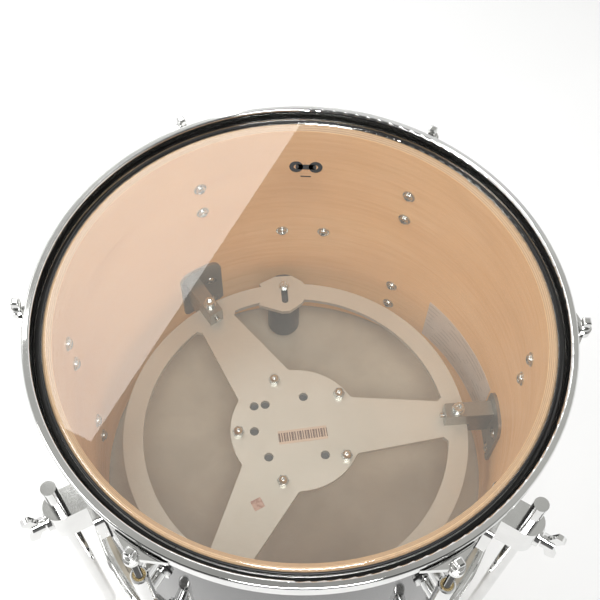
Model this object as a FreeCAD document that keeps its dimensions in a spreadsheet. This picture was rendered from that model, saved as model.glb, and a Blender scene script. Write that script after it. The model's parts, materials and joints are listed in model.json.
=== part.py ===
import FreeCAD, Part
import math
import os
import re
import Sketcher

# Floor-standing drum in millimetres, +Z up, +X right, +Y to the rear.
# The origin is the centre of the upper (batter) head's playing face.  A maple shell carries two
# film heads, each drawn down by a cast hoop and six tension rods.  Inside, a three-spoke plate
# hangs on three wall brackets.  Three legs slide in brackets half-way down the shell.

UPRIGHT = FreeCAD.Vector(0, 0, 1)
document = FreeCAD.newDocument("floor_drum")
sheet = document.addObject("Spreadsheet::Sheet", "dims")

# ---------------------------------------------------------------------------------------------
# Driving dimensions
# ---------------------------------------------------------------------------------------------

DIMENSIONS = [
    # Shell: a ply cylinder with a bevelled bearing edge at both ends.
    ("shell_outer", 201.5),
    ("shell_wall", 7.5),
    ("shell_depth", 305.0),
    ("crest_inset", 4.0),
    # Heads: a film over the bearing edge, its rim held in a metal flesh hoop.
    ("film_thick", 0.4),
    ("film_gap", 0.2),
    ("film_rim", 4.0),
    ("flesh_width", 6.0),
    ("flesh_tall", 6.6),
    ("flesh_drop", 8.0),
    ("flesh_round", 1.5),
    # Cast hoops.
    ("hoop_rise", 8.0),
    ("rim_width", 6.5),
    ("rim_fall", 0.45),
    ("rim_round", 1.6),
    ("lip_round", 1.8),
    ("rim_thick", 5.5),
    ("hoop_wall", 3.8),
    ("hoop_clear", 0.3),
    ("lip_thick", 1.5),
    ("lip_gap", 0.9),
    ("lip_curve", 5.0),
    ("hoop_skirt", 2.4),
    ("edge_round", 0.8),
    ("ear_root", 24.0),
    ("ear_thick", 6.0),
    ("ear_tip", 6.2),
    # Tension rods and their washers.
    ("station_step", 60.0),
    ("rod_out", 21.0),
    ("rod_radius", 2.75),
    ("rod_long", 80.0),
    ("key_width", 6.4),
    ("key_tall", 7.8),
    ("collar_radius", 5.0),
    ("collar_tall", 2.2),
    ("washer_radius", 5.7),
    ("washer_thick", 1.2),
    ("hole_clear", 0.5),
    ("seat_gap", 0.05),
    ("running_fit", 0.06),
    # Lugs: a tube on two posts, screwed on from inside the shell.
    ("lug_offset", 76.2),
    ("lug_tall", 56.0),
    ("lug_radius", 6.8),
    ("lug_post", 5.6),
    ("lug_foot", 8.6),
    ("foot_thick", 2.6),
    ("screw_pitch", 35.4),
    ("lug_nut_radius", 5.0),
    ("lug_nut_tall", 12.0),
    ("lug_round", 2.4),
    ("gasket_thick", 1.0),
    ("screw_radius", 2.5),
    ("screw_deep", 12.0),
    ("head_radius", 4.8),
    ("head_tall", 3.2),
    ("screw_washer", 6.2),
    # Leg brackets, wing bolts, legs and feet.
    ("bracket_turn", 90.0),
    ("bracket_step", 120.0),
    ("bracket_tall", 42.0),
    ("bracket_wide", 62.0),
    ("bracket_plate", 6.0),
    ("bracket_pitch", 44.0),
    ("block_radius", 13.0),
    ("leg_out", 27.5),
    ("leg_radius", 6.35),
    ("leg_above", 62.0),
    ("leg_bend_rise", 139.1),
    ("leg_bend", 14.0),
    ("leg_bend_radius", 70.0),
    ("head_height", 560.0),
    ("foot_radius", 12.0),
    ("foot_neck", 9.5),
    ("foot_long", 46.0),
    ("foot_grip", 34.0),
    ("foot_sole", 18.0),
    ("foot_round", 4.0),
    ("foot_bevel", 2.0),
    ("wing_bolt_radius", 3.9),
    ("wing_boss", 6.5),
    ("wing_boss_long", 11.0),
    ("wing_span", 23.0),
    ("wing_thick", 5.0),
    ("wing_long", 17.0),
    ("wing_root", 3.0),
    ("wing_wide", 8.0),
    ("wing_slope", 4.0),
    ("wing_tip_round", 6.5),
    ("wing_gap", 1.5),
    ("tip_gap", 0.3),
    # Three-spoke plate inside the shell.
    ("spider_turn", 6.2),
    ("plate_rise", 89.8),
    ("plate_thick", 5.0),
    ("ring_gap", 26.1),
    ("ring_wide", 19.1),
    ("hub_radius", 64.2),
    ("spoke_root", 29.1),
    ("spoke_end", 18.5),
    ("spoke_fillet", 5.0),
    ("spoke_chamfer", 5.0),
    ("access_radius", 4.5),
    ("stud_inset", 7.8),
    ("hub_stud", 3.0),
    ("nut_flats", 10.0),
    ("nut_tall", 4.6),
    ("stud_turn", 36.6),
    # Slotted ear of the plate and the canister that hangs from it.
    ("slot_in", 23.6),
    ("slot_out", 1.1),
    ("slot_half", 3.5),
    ("ear_reach", 10.1),
    ("ear_depth", 33.7),
    ("ear_half", 23.0),
    ("ear_nose", 9.0),
    ("ear_point", 4.0),
    ("ear_shoulder", 3.0),
    ("canister_in", 2.9),
    ("canister_radius", 17.3),
    ("canister_collar", 19.2),
    ("canister_collar_tall", 14.0),
    ("canister_tall", 74.0),
    ("canister_round", 5.0),
    ("canister_bolt", 3.0),
    ("canister_washer", 5.6),
    ("canister_nut", 8.0),
    # Wall brackets of the plate.
    ("tie_plate_thick", 3.0),
    ("tie_plate_half", 6.6),
    ("tie_plate_shift", 2.8),
    ("tie_rise", 33.0),
    ("tie_drop", 38.0),
    ("tie_corner", 12.0),
    ("tie_bevel", 4.0),
    ("gusset_deep", 16.0),
    ("arm_wide", 15.0),
    ("arm_tall", 19.0),
    ("arm_over", 22.9),
    ("arm_bolt_in", 10.9),
    ("cap_radius", 5.0),
    ("cap_tall", 5.6),
    ("end_screw", 2.6),
    ("end_screw_out", 4.0),
    # Housing under the hub.
    ("flange_inset", 2.2),
    ("housing_flange_tall", 4.0),
    ("housing_inset", 17.2),
    ("housing_tall", 27.0),
    ("housing_wall", 2.5),
    ("cover_thick", 3.0),
    # Air vent.
    ("vent_turn", 270.0),
    ("vent_bore", 3.5),
    ("vent_flange", 9.0),
    ("vent_wall", 1.4),
    ("vent_flange_thick", 1.6),
]

for row, (alias, value) in enumerate(DIMENSIONS, start=1):
    sheet.set("A%d" % row, alias)
    sheet.set("B%d" % row, str(value))
    sheet.setAlias("B%d" % row, alias)
document.recompute()

ALIASES = {alias for alias, value in DIMENSIONS}

# Places worked out from the driving dimensions, written as sheet formulas.
DERIVED = {
    "shell_inner": "(shell_outer - shell_wall)",
    "crest": "(shell_outer - crest_inset)",
    "shell_top": "(0 - film_thick)",
    "middle": "(0 - film_thick - shell_depth / 2)",
    "skirt_inner": "(shell_outer + film_gap)",
    "skirt_outer": "(shell_outer + film_gap + film_thick)",
    "flesh_outer": "(shell_outer + film_gap + film_thick + flesh_width)",
    "flesh_base": "(0 - flesh_drop - flesh_tall)",
    "lip_inner": "(shell_outer + film_gap + film_thick + lip_gap)",
    "hoop_inner": "(shell_outer + film_gap + film_thick + flesh_width + hoop_clear)",
    "hoop_base": "(0 - flesh_drop - flesh_tall - hoop_skirt)",
    "ear_top": "(hoop_rise - key_tall - collar_tall - washer_thick - seat_gap)",
    "lug_top": "(0 - lug_offset + lug_tall / 2)",
    "foot_face": "(shell_outer + gasket_thick)",
    "rod_circle": "(shell_outer + rod_out)",
    "leg_circle": "(shell_outer + leg_out)",
    "leg_bend_drop": "(head_height + middle - leg_bend_rise)",
    "plate_top": "(plate_rise - shell_depth)",
    "plate_base": "(plate_rise - shell_depth - plate_thick)",
    "ring_outer": "(shell_outer - shell_wall - ring_gap)",
    "ring_inner": "(shell_outer - shell_wall - ring_gap - ring_wide)",
    "hub_circle": "(hub_radius - stud_inset)",
    "slot_inner": "(ring_outer - slot_in)",
    "slot_outer": "(ring_outer + slot_out)",
    "ear_out": "(ring_outer + ear_reach)",
    "ear_in": "(ring_outer - ear_depth)",
    "canister_circle": "(ring_outer - canister_in)",
    "arm_inner": "(ring_outer - arm_over)",
    "arm_bolt_circle": "(ring_outer - arm_bolt_in)",
    "housing_flange": "(hub_radius - flange_inset)",
    "housing_radius": "(hub_radius - housing_inset)",
    "block_out": "(leg_circle + block_radius)",
    "spoke_taper": "((spoke_root - spoke_end) / (ring_inner - hub_radius))",
    "tie_inner": "(shell_outer - shell_wall - tie_plate_thick)",
    "tie_window": "(tie_plate_half * 3.5)",
    "tie_side": "(0 - tie_plate_shift * 3.5)",
    "bracket_spread": "(2 * asin(bracket_pitch / 2 / shell_outer) / 1 deg)",
    "screw_seat": "(sqrt(shell_inner ^ 2 - screw_washer ^ 2) - seat_gap)",
}


def formula(text):
    """Spells out the derived places, then points every alias at the sheet."""
    for _ in range(4):
        text = re.sub(r"[a-z_]+", lambda word: DERIVED.get(word.group(0), word.group(0)), text)
    for alias in sorted(ALIASES, key=len, reverse=True):
        text = re.sub(r"(?<![a-z_.])%s(?![a-z_])" % alias, "dims." + alias, text)
    return text


def number(text):
    """The present value of a formula, as a plain number."""
    value = sheet.evalExpression(formula(text))
    return float(getattr(value, "Value", value))


def bind(thing, **formulas):
    """Binds properties such as Radius or Height to formulas."""
    for prop, text in formulas.items():
        thing.setExpression(prop, formula(text))


# ---------------------------------------------------------------------------------------------
# Sketch and body helpers
# ---------------------------------------------------------------------------------------------


def new_body(label):
    body = document.addObject("PartDesign::Body", label)
    body.Label = label
    body.AllowCompound = True
    return body


def origin_part(body, role):
    """One of the body's own origin planes or axes."""
    for feature in body.Origin.OriginFeatures:
        if feature.Role == role:
            return feature
    raise ValueError("no origin feature " + role)


def new_sketch(body, name, plane, height=None):
    """A sketch on one of the body's origin planes, lifted along its normal by a formula."""
    sketch = body.newObject("Sketcher::SketchObject", name)
    sketch.AttachmentSupport = [(origin_part(body, plane), "")]
    sketch.MapMode = "FlatFace"
    if height is not None:
        bind(sketch, **{"AttachmentOffset.Base.z": height})
    return sketch


def pin_point(sketch, geometry, end, across, up):
    """Holds one end of an edge at a place given by two formulas."""
    for kind, text in (("DistanceX", across), ("DistanceY", up)):
        index = sketch.addConstraint(Sketcher.Constraint(kind, -1, 1, geometry, end, number(text)))
        sketch.setExpression("Constraints[%d]" % index, formula(text))


def arc_between(start, end, radius, bulge):
    """Arc from start to end that turns left on its way for +1 and right for -1.  A sketch holds
    every arc anticlockwise, so the numbers of its first and last ends come back with it."""
    chord = end - start
    side = FreeCAD.Vector(-chord.y, chord.x, 0).normalize() * bulge
    centre = (start + end) * 0.5 + side * math.sqrt(max(radius**2 - chord.Length**2 / 4, 0.0))
    first, last = (start, end) if bulge > 0 else (end, start)
    from_angle = math.atan2(first.y - centre.y, first.x - centre.x)
    to_angle = math.atan2(last.y - centre.y, last.x - centre.x)
    if to_angle < from_angle:
        to_angle += 2 * math.pi
    arc = Part.ArcOfCircle(Part.Circle(centre, UPRIGHT, radius), from_angle, to_angle)
    return (arc, 1, 2) if bulge > 0 else (arc, 2, 1)


def outline(sketch, points, closed=True):
    """Draws a chain of formula points.  Each is (across, up) for a straight edge to the next
    point, or (across, up, radius, bulge) for an arc to the next point."""
    places = [FreeCAD.Vector(number(point[0]), number(point[1]), 0) for point in points]
    count = len(points) if closed else len(points) - 1
    for index in range(count):
        start = places[index]
        end = places[(index + 1) % len(points)]
        if len(points[index]) == 2:
            edge = sketch.addGeometry(Part.LineSegment(start, end), False)
            first, last = 1, 2
        else:
            radius = points[index][2]
            arc, first, last = arc_between(start, end, number(radius), points[index][3])
            edge = sketch.addGeometry(arc, False)
            held = sketch.addConstraint(Sketcher.Constraint("Radius", edge, number(radius)))
            sketch.setExpression("Constraints[%d]" % held, formula(radius))
        pin_point(sketch, edge, first, points[index][0], points[index][1])
        if index:
            sketch.addConstraint(Sketcher.Constraint("Coincident", edge, first, edge - 1, previous_last))
        if index == len(points) - 1:
            sketch.addConstraint(Sketcher.Constraint("Coincident", edge, last, 0, first_first))
        if not closed and index == count - 1:
            pin_point(sketch, edge, last, points[-1][0], points[-1][1])
        if index == 0:
            first_first = first
        previous_last = last


def ring_sketch(body, name, plane, circles, height=None):
    """Circles given as (across, up, radius) formulas."""
    sketch = new_sketch(body, name, plane, height)
    for across, up, radius in circles:
        centre = FreeCAD.Vector(number(across), number(up), 0)
        edge = sketch.addGeometry(Part.Circle(centre, UPRIGHT, number(radius)), False)
        pin_point(sketch, edge, 3, across, up)
        held = sketch.addConstraint(Sketcher.Constraint("Radius", edge, number(radius)))
        sketch.setExpression("Constraints[%d]" % held, formula(radius))
    return sketch


def turn_profile(body, name, points, axis="Z_Axis"):
    """A solid turned about an origin axis from a profile in the XZ plane."""
    sketch = new_sketch(body, name + "_profile", "XZ_Plane")
    outline(sketch, points)
    document.recompute()
    turned = body.newObject("PartDesign::Revolution", name)
    turned.Profile = sketch
    turned.ReferenceAxis = (origin_part(body, axis), [""])
    turned.Angle = 360
    body.Tip = turned
    return turned


def turned_body(label, points):
    body = new_body(label)
    turn_profile(body, label + "_turned", points)
    return body


def pad(body, sketch, name, length):
    feature = body.newObject("PartDesign::Pad", name)
    feature.Profile = sketch
    bind(feature, Length=length)
    body.Tip = feature
    return feature


def pocket(body, sketch, name, length):
    """Cuts a sketch down through the body, against the sketch's normal."""
    feature = body.newObject("PartDesign::Pocket", name)
    feature.Profile = sketch
    bind(feature, Length=length)
    body.Tip = feature
    return feature


def polar(body, features, name, count):
    pattern = body.newObject("PartDesign::PolarPattern", name)
    pattern.Originals = features
    pattern.Axis = (origin_part(body, "Z_Axis"), [""])
    pattern.Angle = 360
    pattern.Occurrences = count
    body.Tip = pattern
    return pattern


def rod_between(name, radius, start, length, direction):
    """A cylinder with formula radius and length along +X, +Y or +Z from a formula start."""
    cylinder = document.addObject("Part::Cylinder", name)
    bind(cylinder, Radius=radius, Height=length)
    turns = {"x": (FreeCAD.Vector(0, 1, 0), 90), "y": (FreeCAD.Vector(1, 0, 0), -90), "z": (UPRIGHT, 0)}
    cylinder.Placement = FreeCAD.Placement(FreeCAD.Vector(), FreeCAD.Rotation(*turns[direction]))
    place_at(cylinder, *start)
    return cylinder


def brick(name, corner, size):
    """A box from its low corner and its three sizes, all formulas."""
    box = document.addObject("Part::Box", name)
    bind(box, Length=size[0], Width=size[1], Height=size[2])
    place_at(box, *corner)
    return box


def place_at(thing, x="0", y="0", z="0"):
    for letter, text in (("x", x), ("y", y), ("z", z)):
        thing.setExpression("Placement.Base." + letter, formula(text))


def place_round(thing, reach, angle, height):
    """Puts a piece at a distance from the drum's axis, a turn in degrees and a height."""
    across = "(%s) * cos((%s) * 1 deg)" % (reach, angle)
    up = "(%s) * sin((%s) * 1 deg)" % (reach, angle)
    place_at(thing, across, up, height)


def fuse(name, pieces):
    joined = document.addObject("Part::MultiFuse", name)
    joined.Shapes = pieces
    return joined


def cut(name, base, tools):
    """Cuts one or more tools from a base."""
    tool = tools[0] if len(tools) == 1 else fuse(name + "_tools", tools)
    result = document.addObject("Part::Cut", name)
    result.Base = base
    result.Tool = tool
    return result


def common(name, base, tool):
    result = document.addObject("Part::Common", name)
    result.Base = base
    result.Tool = tool
    return result


def gather(name, pieces):
    group = document.addObject("Part::Compound", name)
    group.Links = pieces
    return group


def turn_to(thing, angle):
    """Turns a finished piece about the drum's axis by a formula in degrees."""
    thing.Placement = FreeCAD.Placement(FreeCAD.Vector(), FreeCAD.Rotation(UPRIGHT, 0.001))
    thing.setExpression("Placement.Rotation.Angle", formula(angle))
    return thing


def flip_down(thing, station="0"):
    """Turns a piece of the upper head over, so that it serves the lower head.
    The half turn about X comes with a turn about Z that keeps the six stations in place."""
    half = FreeCAD.Rotation(FreeCAD.Vector(1, 0, 0), 180)
    about = FreeCAD.Rotation(UPRIGHT, number(station))
    thing.Placement = FreeCAD.Placement(FreeCAD.Vector(), about * half)
    place_at(thing, z="2 * middle")
    return thing


finished = []


def finish(label, thing):
    """Names a finished sub-part and queues it for the hand-over."""
    thing.Label = label
    finished.append(thing)
    return thing


# ---------------------------------------------------------------------------------------------
# Shell
# ---------------------------------------------------------------------------------------------


def shell_cutters():
    """Clearance holes for the lug screws, the leg-bracket screws and the vent."""
    cutters = []
    for station in range(6):
        for sign in (-1, 1):
            for screw in (-0.5, 0.5):
                height = "middle + %d * (0 - lug_offset - middle) + %g * screw_pitch" % (sign, screw)
                name = "lug_hole_%d_%d_%d" % (station, sign + 1, screw + 1)
                angle = "%d * station_step" % station
                cutters.append(radial_rod(name, "screw_radius + hole_clear", angle, height))
    for number_of in range(3):
        for side in (-0.5, 0.5):
            angle = "bracket_turn + %d * bracket_step + %g * bracket_spread" % (number_of, side)
            name = "bracket_hole_%d_%d" % (number_of, side + 1)
            cutters.append(radial_rod(name, "screw_radius + hole_clear", angle, "middle"))
    cutters.append(radial_rod("vent_hole", "vent_bore + vent_wall", "vent_turn", "middle"))
    return cutters


def radial_rod(name, radius, angle, height, start="shell_inner - 5", length="shell_wall + 12"):
    """A cylinder that lies along a radius of the drum, at a turn and a height."""
    cylinder = document.addObject("Part::Cylinder", name)
    bind(cylinder, Radius=radius, Height=length)
    about = FreeCAD.Rotation(UPRIGHT, number(angle)) * FreeCAD.Rotation(FreeCAD.Vector(0, 1, 0), 90)
    cylinder.Placement = FreeCAD.Placement(FreeCAD.Vector(), about)
    place_round(cylinder, start, angle, height)
    return cylinder


shell_turned = turned_body(
    "shell_turned",
    [
        ("shell_inner", "shell_top - (crest - shell_inner)"),
        ("crest", "shell_top", "crest_inset", -1),
        ("shell_outer", "shell_top - crest_inset"),
        ("shell_outer", "shell_top - shell_depth + crest_inset", "crest_inset", -1),
        ("crest", "shell_top - shell_depth"),
        ("shell_inner", "shell_top - shell_depth + (crest - shell_inner)"),
    ],
)
finish("shell", cut("shell_cut", shell_turned, shell_cutters()))

# ---------------------------------------------------------------------------------------------
# Heads and hoops.  The lower ones are the same pieces turned over.
# ---------------------------------------------------------------------------------------------

FILM = [
    ("0", "0"),
    ("crest", "0", "crest_inset + film_gap + film_thick", -1),
    ("skirt_outer", "0 - film_thick - film_gap - crest_inset"),
    ("skirt_outer", "flesh_base"),
    ("skirt_outer + film_rim", "flesh_base"),
    ("skirt_outer + film_rim", "flesh_base - film_thick"),
    ("skirt_inner", "flesh_base - film_thick"),
    ("skirt_inner", "0 - film_thick - film_gap - crest_inset", "crest_inset + film_gap", 1),
    ("crest", "0 - film_thick"),
    ("0", "0 - film_thick"),
]

FLESH_HOOP = [
    ("skirt_outer", "flesh_base"),
    ("flesh_outer", "flesh_base"),
    ("flesh_outer", "0 - flesh_drop - flesh_round", "flesh_round", 1),
    ("flesh_outer - flesh_round", "0 - flesh_drop"),
    ("skirt_outer", "0 - flesh_drop"),
]

HOOP = [
    ("hoop_inner", "hoop_rise - lip_round", "lip_round", -1),
    ("hoop_inner + lip_round", "hoop_rise"),
    ("hoop_inner + rim_width - rim_round", "hoop_rise - rim_fall", "rim_round", -1),
    ("hoop_inner + rim_width", "hoop_rise - rim_fall - rim_round"),
    ("hoop_inner + rim_width", "hoop_rise - rim_thick + edge_round", "edge_round", -1),
    ("hoop_inner + rim_width - edge_round", "hoop_rise - rim_thick"),
    ("hoop_inner + hoop_wall", "hoop_rise - rim_thick"),
    ("hoop_inner + hoop_wall", "hoop_base + edge_round", "edge_round", -1),
    ("hoop_inner + hoop_wall - edge_round", "hoop_base"),
    ("hoop_inner", "hoop_base"),
    ("hoop_inner", "0 - flesh_drop"),
    ("lip_inner", "0 - flesh_drop"),
    ("lip_inner", "0 - flesh_drop + lip_thick"),
    ("hoop_inner - lip_curve", "0 - flesh_drop + lip_thick", "lip_curve", 1),
    ("hoop_inner", "0 - flesh_drop + lip_thick + lip_curve"),
]

EAR = [
    ("hoop_inner + 1", "0 - ear_root"),
    ("hoop_inner + hoop_wall + 1", "0 - ear_root"),
    ("rod_circle - 1", "0 - ear_tip"),
    ("rod_circle", "0 - ear_tip", "ear_tip", 1),
    ("rod_circle + ear_tip", "0", "ear_tip", 1),
    ("rod_circle", "ear_tip"),
    ("rod_circle - 1", "ear_tip"),
    ("hoop_inner + hoop_wall + 1", "ear_root"),
    ("hoop_inner + 1", "ear_root"),
]


def hoop_body(label):
    """A cast hoop: the turned ring, six ears and a rod hole in each ear."""
    body = turned_body(label, HOOP)
    ear_sketch = new_sketch(body, label + "_ear_outline", "XY_Plane", "ear_top - ear_thick")
    outline(ear_sketch, EAR)
    document.recompute()
    ear = pad(body, ear_sketch, label + "_ear", "ear_thick")
    polar(body, [ear], label + "_ears", 6)
    document.recompute()
    rod_hole = [("rod_circle", "0", "rod_radius + hole_clear")]
    hole_sketch = ring_sketch(body, label + "_hole_outline", "XY_Plane", rod_hole, "ear_top + 1")
    document.recompute()
    hole = pocket(body, hole_sketch, label + "_hole", "ear_thick + 2")
    polar(body, [hole], label + "_holes", 6)
    return body


for side in ("batter", "resonant"):
    film = finish(side + "_film", turned_body(side + "_film", FILM))
    flesh = finish(side + "_flesh_hoop", turned_body(side + "_flesh_hoop", FLESH_HOOP))
    hoop = finish(side + "_hoop", hoop_body(side + "_hoop"))
    if side == "resonant":
        for piece in (film, flesh, hoop):
            flip_down(piece)

# ---------------------------------------------------------------------------------------------
# Tension rods and washers
# ---------------------------------------------------------------------------------------------


def tension_rod(name):
    """Threaded rod with a round collar and a square key head, standing at station 0."""
    under_head = "ear_top + washer_thick + seat_gap"
    shaft_end = ("rod_circle", "0", under_head + " - rod_long")
    shaft = rod_between(name + "_shaft", "rod_radius", shaft_end, "rod_long", "z")
    tip = document.addObject("Part::Cone", name + "_tip")
    bind(tip, Radius1="rod_radius * 0.55", Radius2="rod_radius", Height="rod_radius * 0.6")
    place_at(tip, "rod_circle", "0", under_head + " - rod_long - rod_radius * 0.6")
    collar_start = ("rod_circle", "0", under_head)
    collar = rod_between(name + "_collar", "collar_radius", collar_start, "collar_tall", "z")
    key = brick(
        name + "_key",
        ("rod_circle - key_width / 2", "0 - key_width / 2", under_head + " + collar_tall"),
        ("key_width", "key_width", "key_tall"),
    )
    dome = document.addObject("Part::Sphere", name + "_dome")
    bind(dome, Radius="key_tall * 1.05")
    place_at(dome, "rod_circle", "0", under_head + " + collar_tall - key_tall * 0.05")
    return fuse(name, [shaft, tip, collar, common(name + "_head", key, dome)])


def washer_ring(name, radius, bore, x, z, thick):
    """A flat washer with a vertical axis."""
    disc = rod_between(name + "_disc", radius, (x, "0", z), thick, "z")
    hole = rod_between(name + "_bore", bore, (x, "0", z + " - 1"), thick + " + 2", "z")
    return cut(name, disc, [hole])


for side in ("batter", "resonant"):
    washers = []
    for station in range(6):
        angle = "%d * station_step" % station
        rod = finish("%s_rod_%d" % (side, station + 1), tension_rod("%s_rod_%d" % (side, station + 1)))
        washer = washer_ring(
            "%s_washer_%d" % (side, station + 1),
            "washer_radius",
            "rod_radius + hole_clear",
            "rod_circle",
            "ear_top",
            "washer_thick",
        )
        for piece in (rod, washer):
            if side == "batter":
                turn_to(piece, angle)
            else:
                flip_down(piece, angle)
        washers.append(washer)
    finish(side + "_rod_washers", gather(side + "_rod_washers", washers))

# ---------------------------------------------------------------------------------------------
# Lugs, swivel nuts, gaskets and lug screws
# ---------------------------------------------------------------------------------------------


def lug(name):
    """Upper lug at station 0: an upright tube on two posts that stand on round feet."""
    tube = turned_body(
        name + "_tube",
        [
            ("0", "lug_top - lug_tall"),
            ("lug_radius - lug_round", "lug_top - lug_tall", "lug_round", 1),
            ("lug_radius", "lug_top - lug_tall + lug_round"),
            ("lug_radius", "lug_top - lug_round * 0.6"),
            ("lug_radius - lug_round * 0.4", "lug_top"),
            ("0", "lug_top"),
        ],
    )
    place_at(tube, x="rod_circle")
    solids = [tube]
    holes = []
    for screw in (-0.5, 0.5):
        height = "0 - lug_offset + %g * screw_pitch" % screw
        mark = "%s_%d" % (name, screw + 1)
        start = ("foot_face - 2", "0", height)
        post_long = "rod_circle - foot_face + 2"
        tapping = "screw_radius + running_fit"
        solids.append(rod_between(mark + "_post", "lug_post", start, post_long, "x"))
        solids.append(rod_between(mark + "_foot", "lug_foot", start, "foot_thick + 2", "x"))
        holes.append(rod_between(mark + "_tapping", tapping, start, "screw_deep + 2", "x"))
    bore_start = ("rod_circle", "0", "lug_top - lug_tall + 4")
    bore = rod_between(name + "_bore", "rod_radius + hole_clear", bore_start, "lug_tall", "z")
    socket = rod_between(
        name + "_socket",
        "lug_nut_radius + running_fit",
        ("rod_circle", "0", "lug_top - lug_nut_tall - 1"),
        "lug_nut_tall + 2",
        "z",
    )
    inside_start = ("0", "0", "0 - lug_offset - lug_tall")
    inside = rod_between(name + "_inside", "foot_face", inside_start, "lug_tall * 2", "z")
    return cut(name, fuse(name + "_solid", solids), holes + [bore, socket, inside])


def swivel_nut(name):
    """The threaded insert that the rod turns in, sunk in the lug's mouth."""
    low = "lug_top - lug_nut_tall - 1"
    return washer_ring(name, "lug_nut_radius", "rod_radius + running_fit", "rod_circle", low, "lug_nut_tall")


nuts = []
for level in ("upper", "lower"):
    for station in range(6):
        angle = "%d * station_step" % station
        name = "%s_lug_%d" % (level, station + 1)
        piece = finish(name, lug(name))
        nut = swivel_nut("%s_swivel_nut_%d" % (level, station + 1))
        for thing in (piece, nut):
            if level == "upper":
                turn_to(thing, angle)
            else:
                flip_down(thing, angle)
        nuts.append(nut)
finish("lug_swivel_nuts", gather("lug_swivel_nuts", nuts))


def radial_screw(name, angle, height, shank_end):
    """Washer-head screw driven outwards from inside the shell.  Its flat washer bears on the
    curved wall along its two sides."""
    shank_start = "screw_seat - washer_thick"
    washer = radial_rod(name + "_washer", "screw_washer", angle, height, shank_start, "washer_thick")
    head_start = shank_start + " - head_tall"
    head = radial_rod(name + "_head", "head_radius", angle, height, head_start, "head_tall")
    shank_long = "(%s) - (%s)" % (shank_end, shank_start)
    shank = radial_rod(name + "_shank", "screw_radius", angle, height, shank_start, shank_long)
    crown = document.addObject("Part::Sphere", name + "_crown")
    bind(crown, Radius="head_radius * 1.5")
    place_round(crown, "screw_seat - washer_thick - head_tall + head_radius * 1.5", angle, height)
    return [washer, common(name + "_domed_head", head, crown), shank]


screws = []
gaskets = []
for station in range(6):
    for sign in (-1, 1):
        for screw in (-0.5, 0.5):
            angle = "%d * station_step" % station
            height = "middle + %d * (0 - lug_offset - middle) + %g * screw_pitch" % (sign, screw)
            mark = "%d_%d_%d" % (station, sign + 1, screw + 1)
            parts = radial_screw("lug_screw_part_" + mark, angle, height, "foot_face + screw_deep - 1")
            screws.append(fuse("lug_screw_" + mark, parts))
            disc = radial_rod("gasket_disc_" + mark, "lug_foot", angle, height, "shell_outer - 2", "6")
            bore = "screw_radius + hole_clear"
            hole = radial_rod("gasket_hole_" + mark, bore, angle, height, "shell_outer - 3", "8")
            gaskets.append(cut("gasket_blank_" + mark, disc, [hole]))
finish("lug_screws", gather("lug_screws", screws))

shell_end = "shell_top - shell_depth"
gasket_band = cut(
    "gasket_band",
    rod_between("gasket_band_out", "foot_face", ("0", "0", shell_end), "shell_depth", "z"),
    [rod_between("gasket_band_in", "shell_outer", ("0", "0", shell_end + " - 1"), "shell_depth + 2", "z")],
)

# ---------------------------------------------------------------------------------------------
# Leg brackets with their screws and gaskets, wing bolts, legs and rubber feet
# ---------------------------------------------------------------------------------------------


def leg_bracket(name):
    """Cast bracket at station 0: a curved plate and a block with an upright bore for the leg."""
    low = "middle - bracket_tall / 2"
    plate = brick(
        name + "_plate",
        ("foot_face - 4", "0 - bracket_wide / 2", low),
        ("bracket_plate + 4", "bracket_wide", "bracket_tall"),
    )
    neck = brick(
        name + "_neck",
        ("foot_face", "0 - block_radius", low),
        ("leg_circle - foot_face", "block_radius * 2", "bracket_tall"),
    )
    barrel = rod_between(name + "_barrel", "block_radius", ("leg_circle", "0", low), "bracket_tall", "z")
    centre = ("leg_circle", "0", "middle")
    bore_start = ("leg_circle", "0", low + " - 1")
    boss = rod_between(name + "_boss", "wing_boss + 2", centre, "block_radius + 2", "x")
    bore = rod_between(name + "_bore", "leg_radius + running_fit", bore_start, "bracket_tall + 2", "z")
    thread = rod_between(name + "_thread", "wing_bolt_radius + running_fit", centre, "block_radius + 6", "x")
    inside = rod_between(name + "_inside", "foot_face", ("0", "0", low + " - 1"), "bracket_tall + 2", "z")
    holes = []
    for side in (-0.5, 0.5):
        mark = "%s_%d" % (name, side + 1)
        holes.append(
            radial_rod(
                mark + "_tapping",
                "screw_radius + running_fit",
                "%g * bracket_spread" % side,
                "middle",
                "shell_outer - 2",
                "gasket_thick + bracket_plate + 8",
            )
        )
    rounded = document.addObject("Part::Fillet", name + "_rounded")
    solid = fuse(name + "_solid", [plate, neck, barrel, boss])
    document.recompute()
    rounded.Base = solid
    corners = []
    for index, edge in enumerate(solid.Shape.Edges, start=1):
        middle_of = edge.CenterOfMass
        along_x = abs(edge.tangentAt(edge.FirstParameter).x) > 0.99 and edge.Length < 12
        if along_x and abs(middle_of.y) > number("bracket_wide") / 2 - 0.01:
            corners.append((index, number("bracket_plate"), number("bracket_plate")))
    rounded.Edges = corners
    return cut(name, rounded, [bore, thread, inside] + holes)


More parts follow.
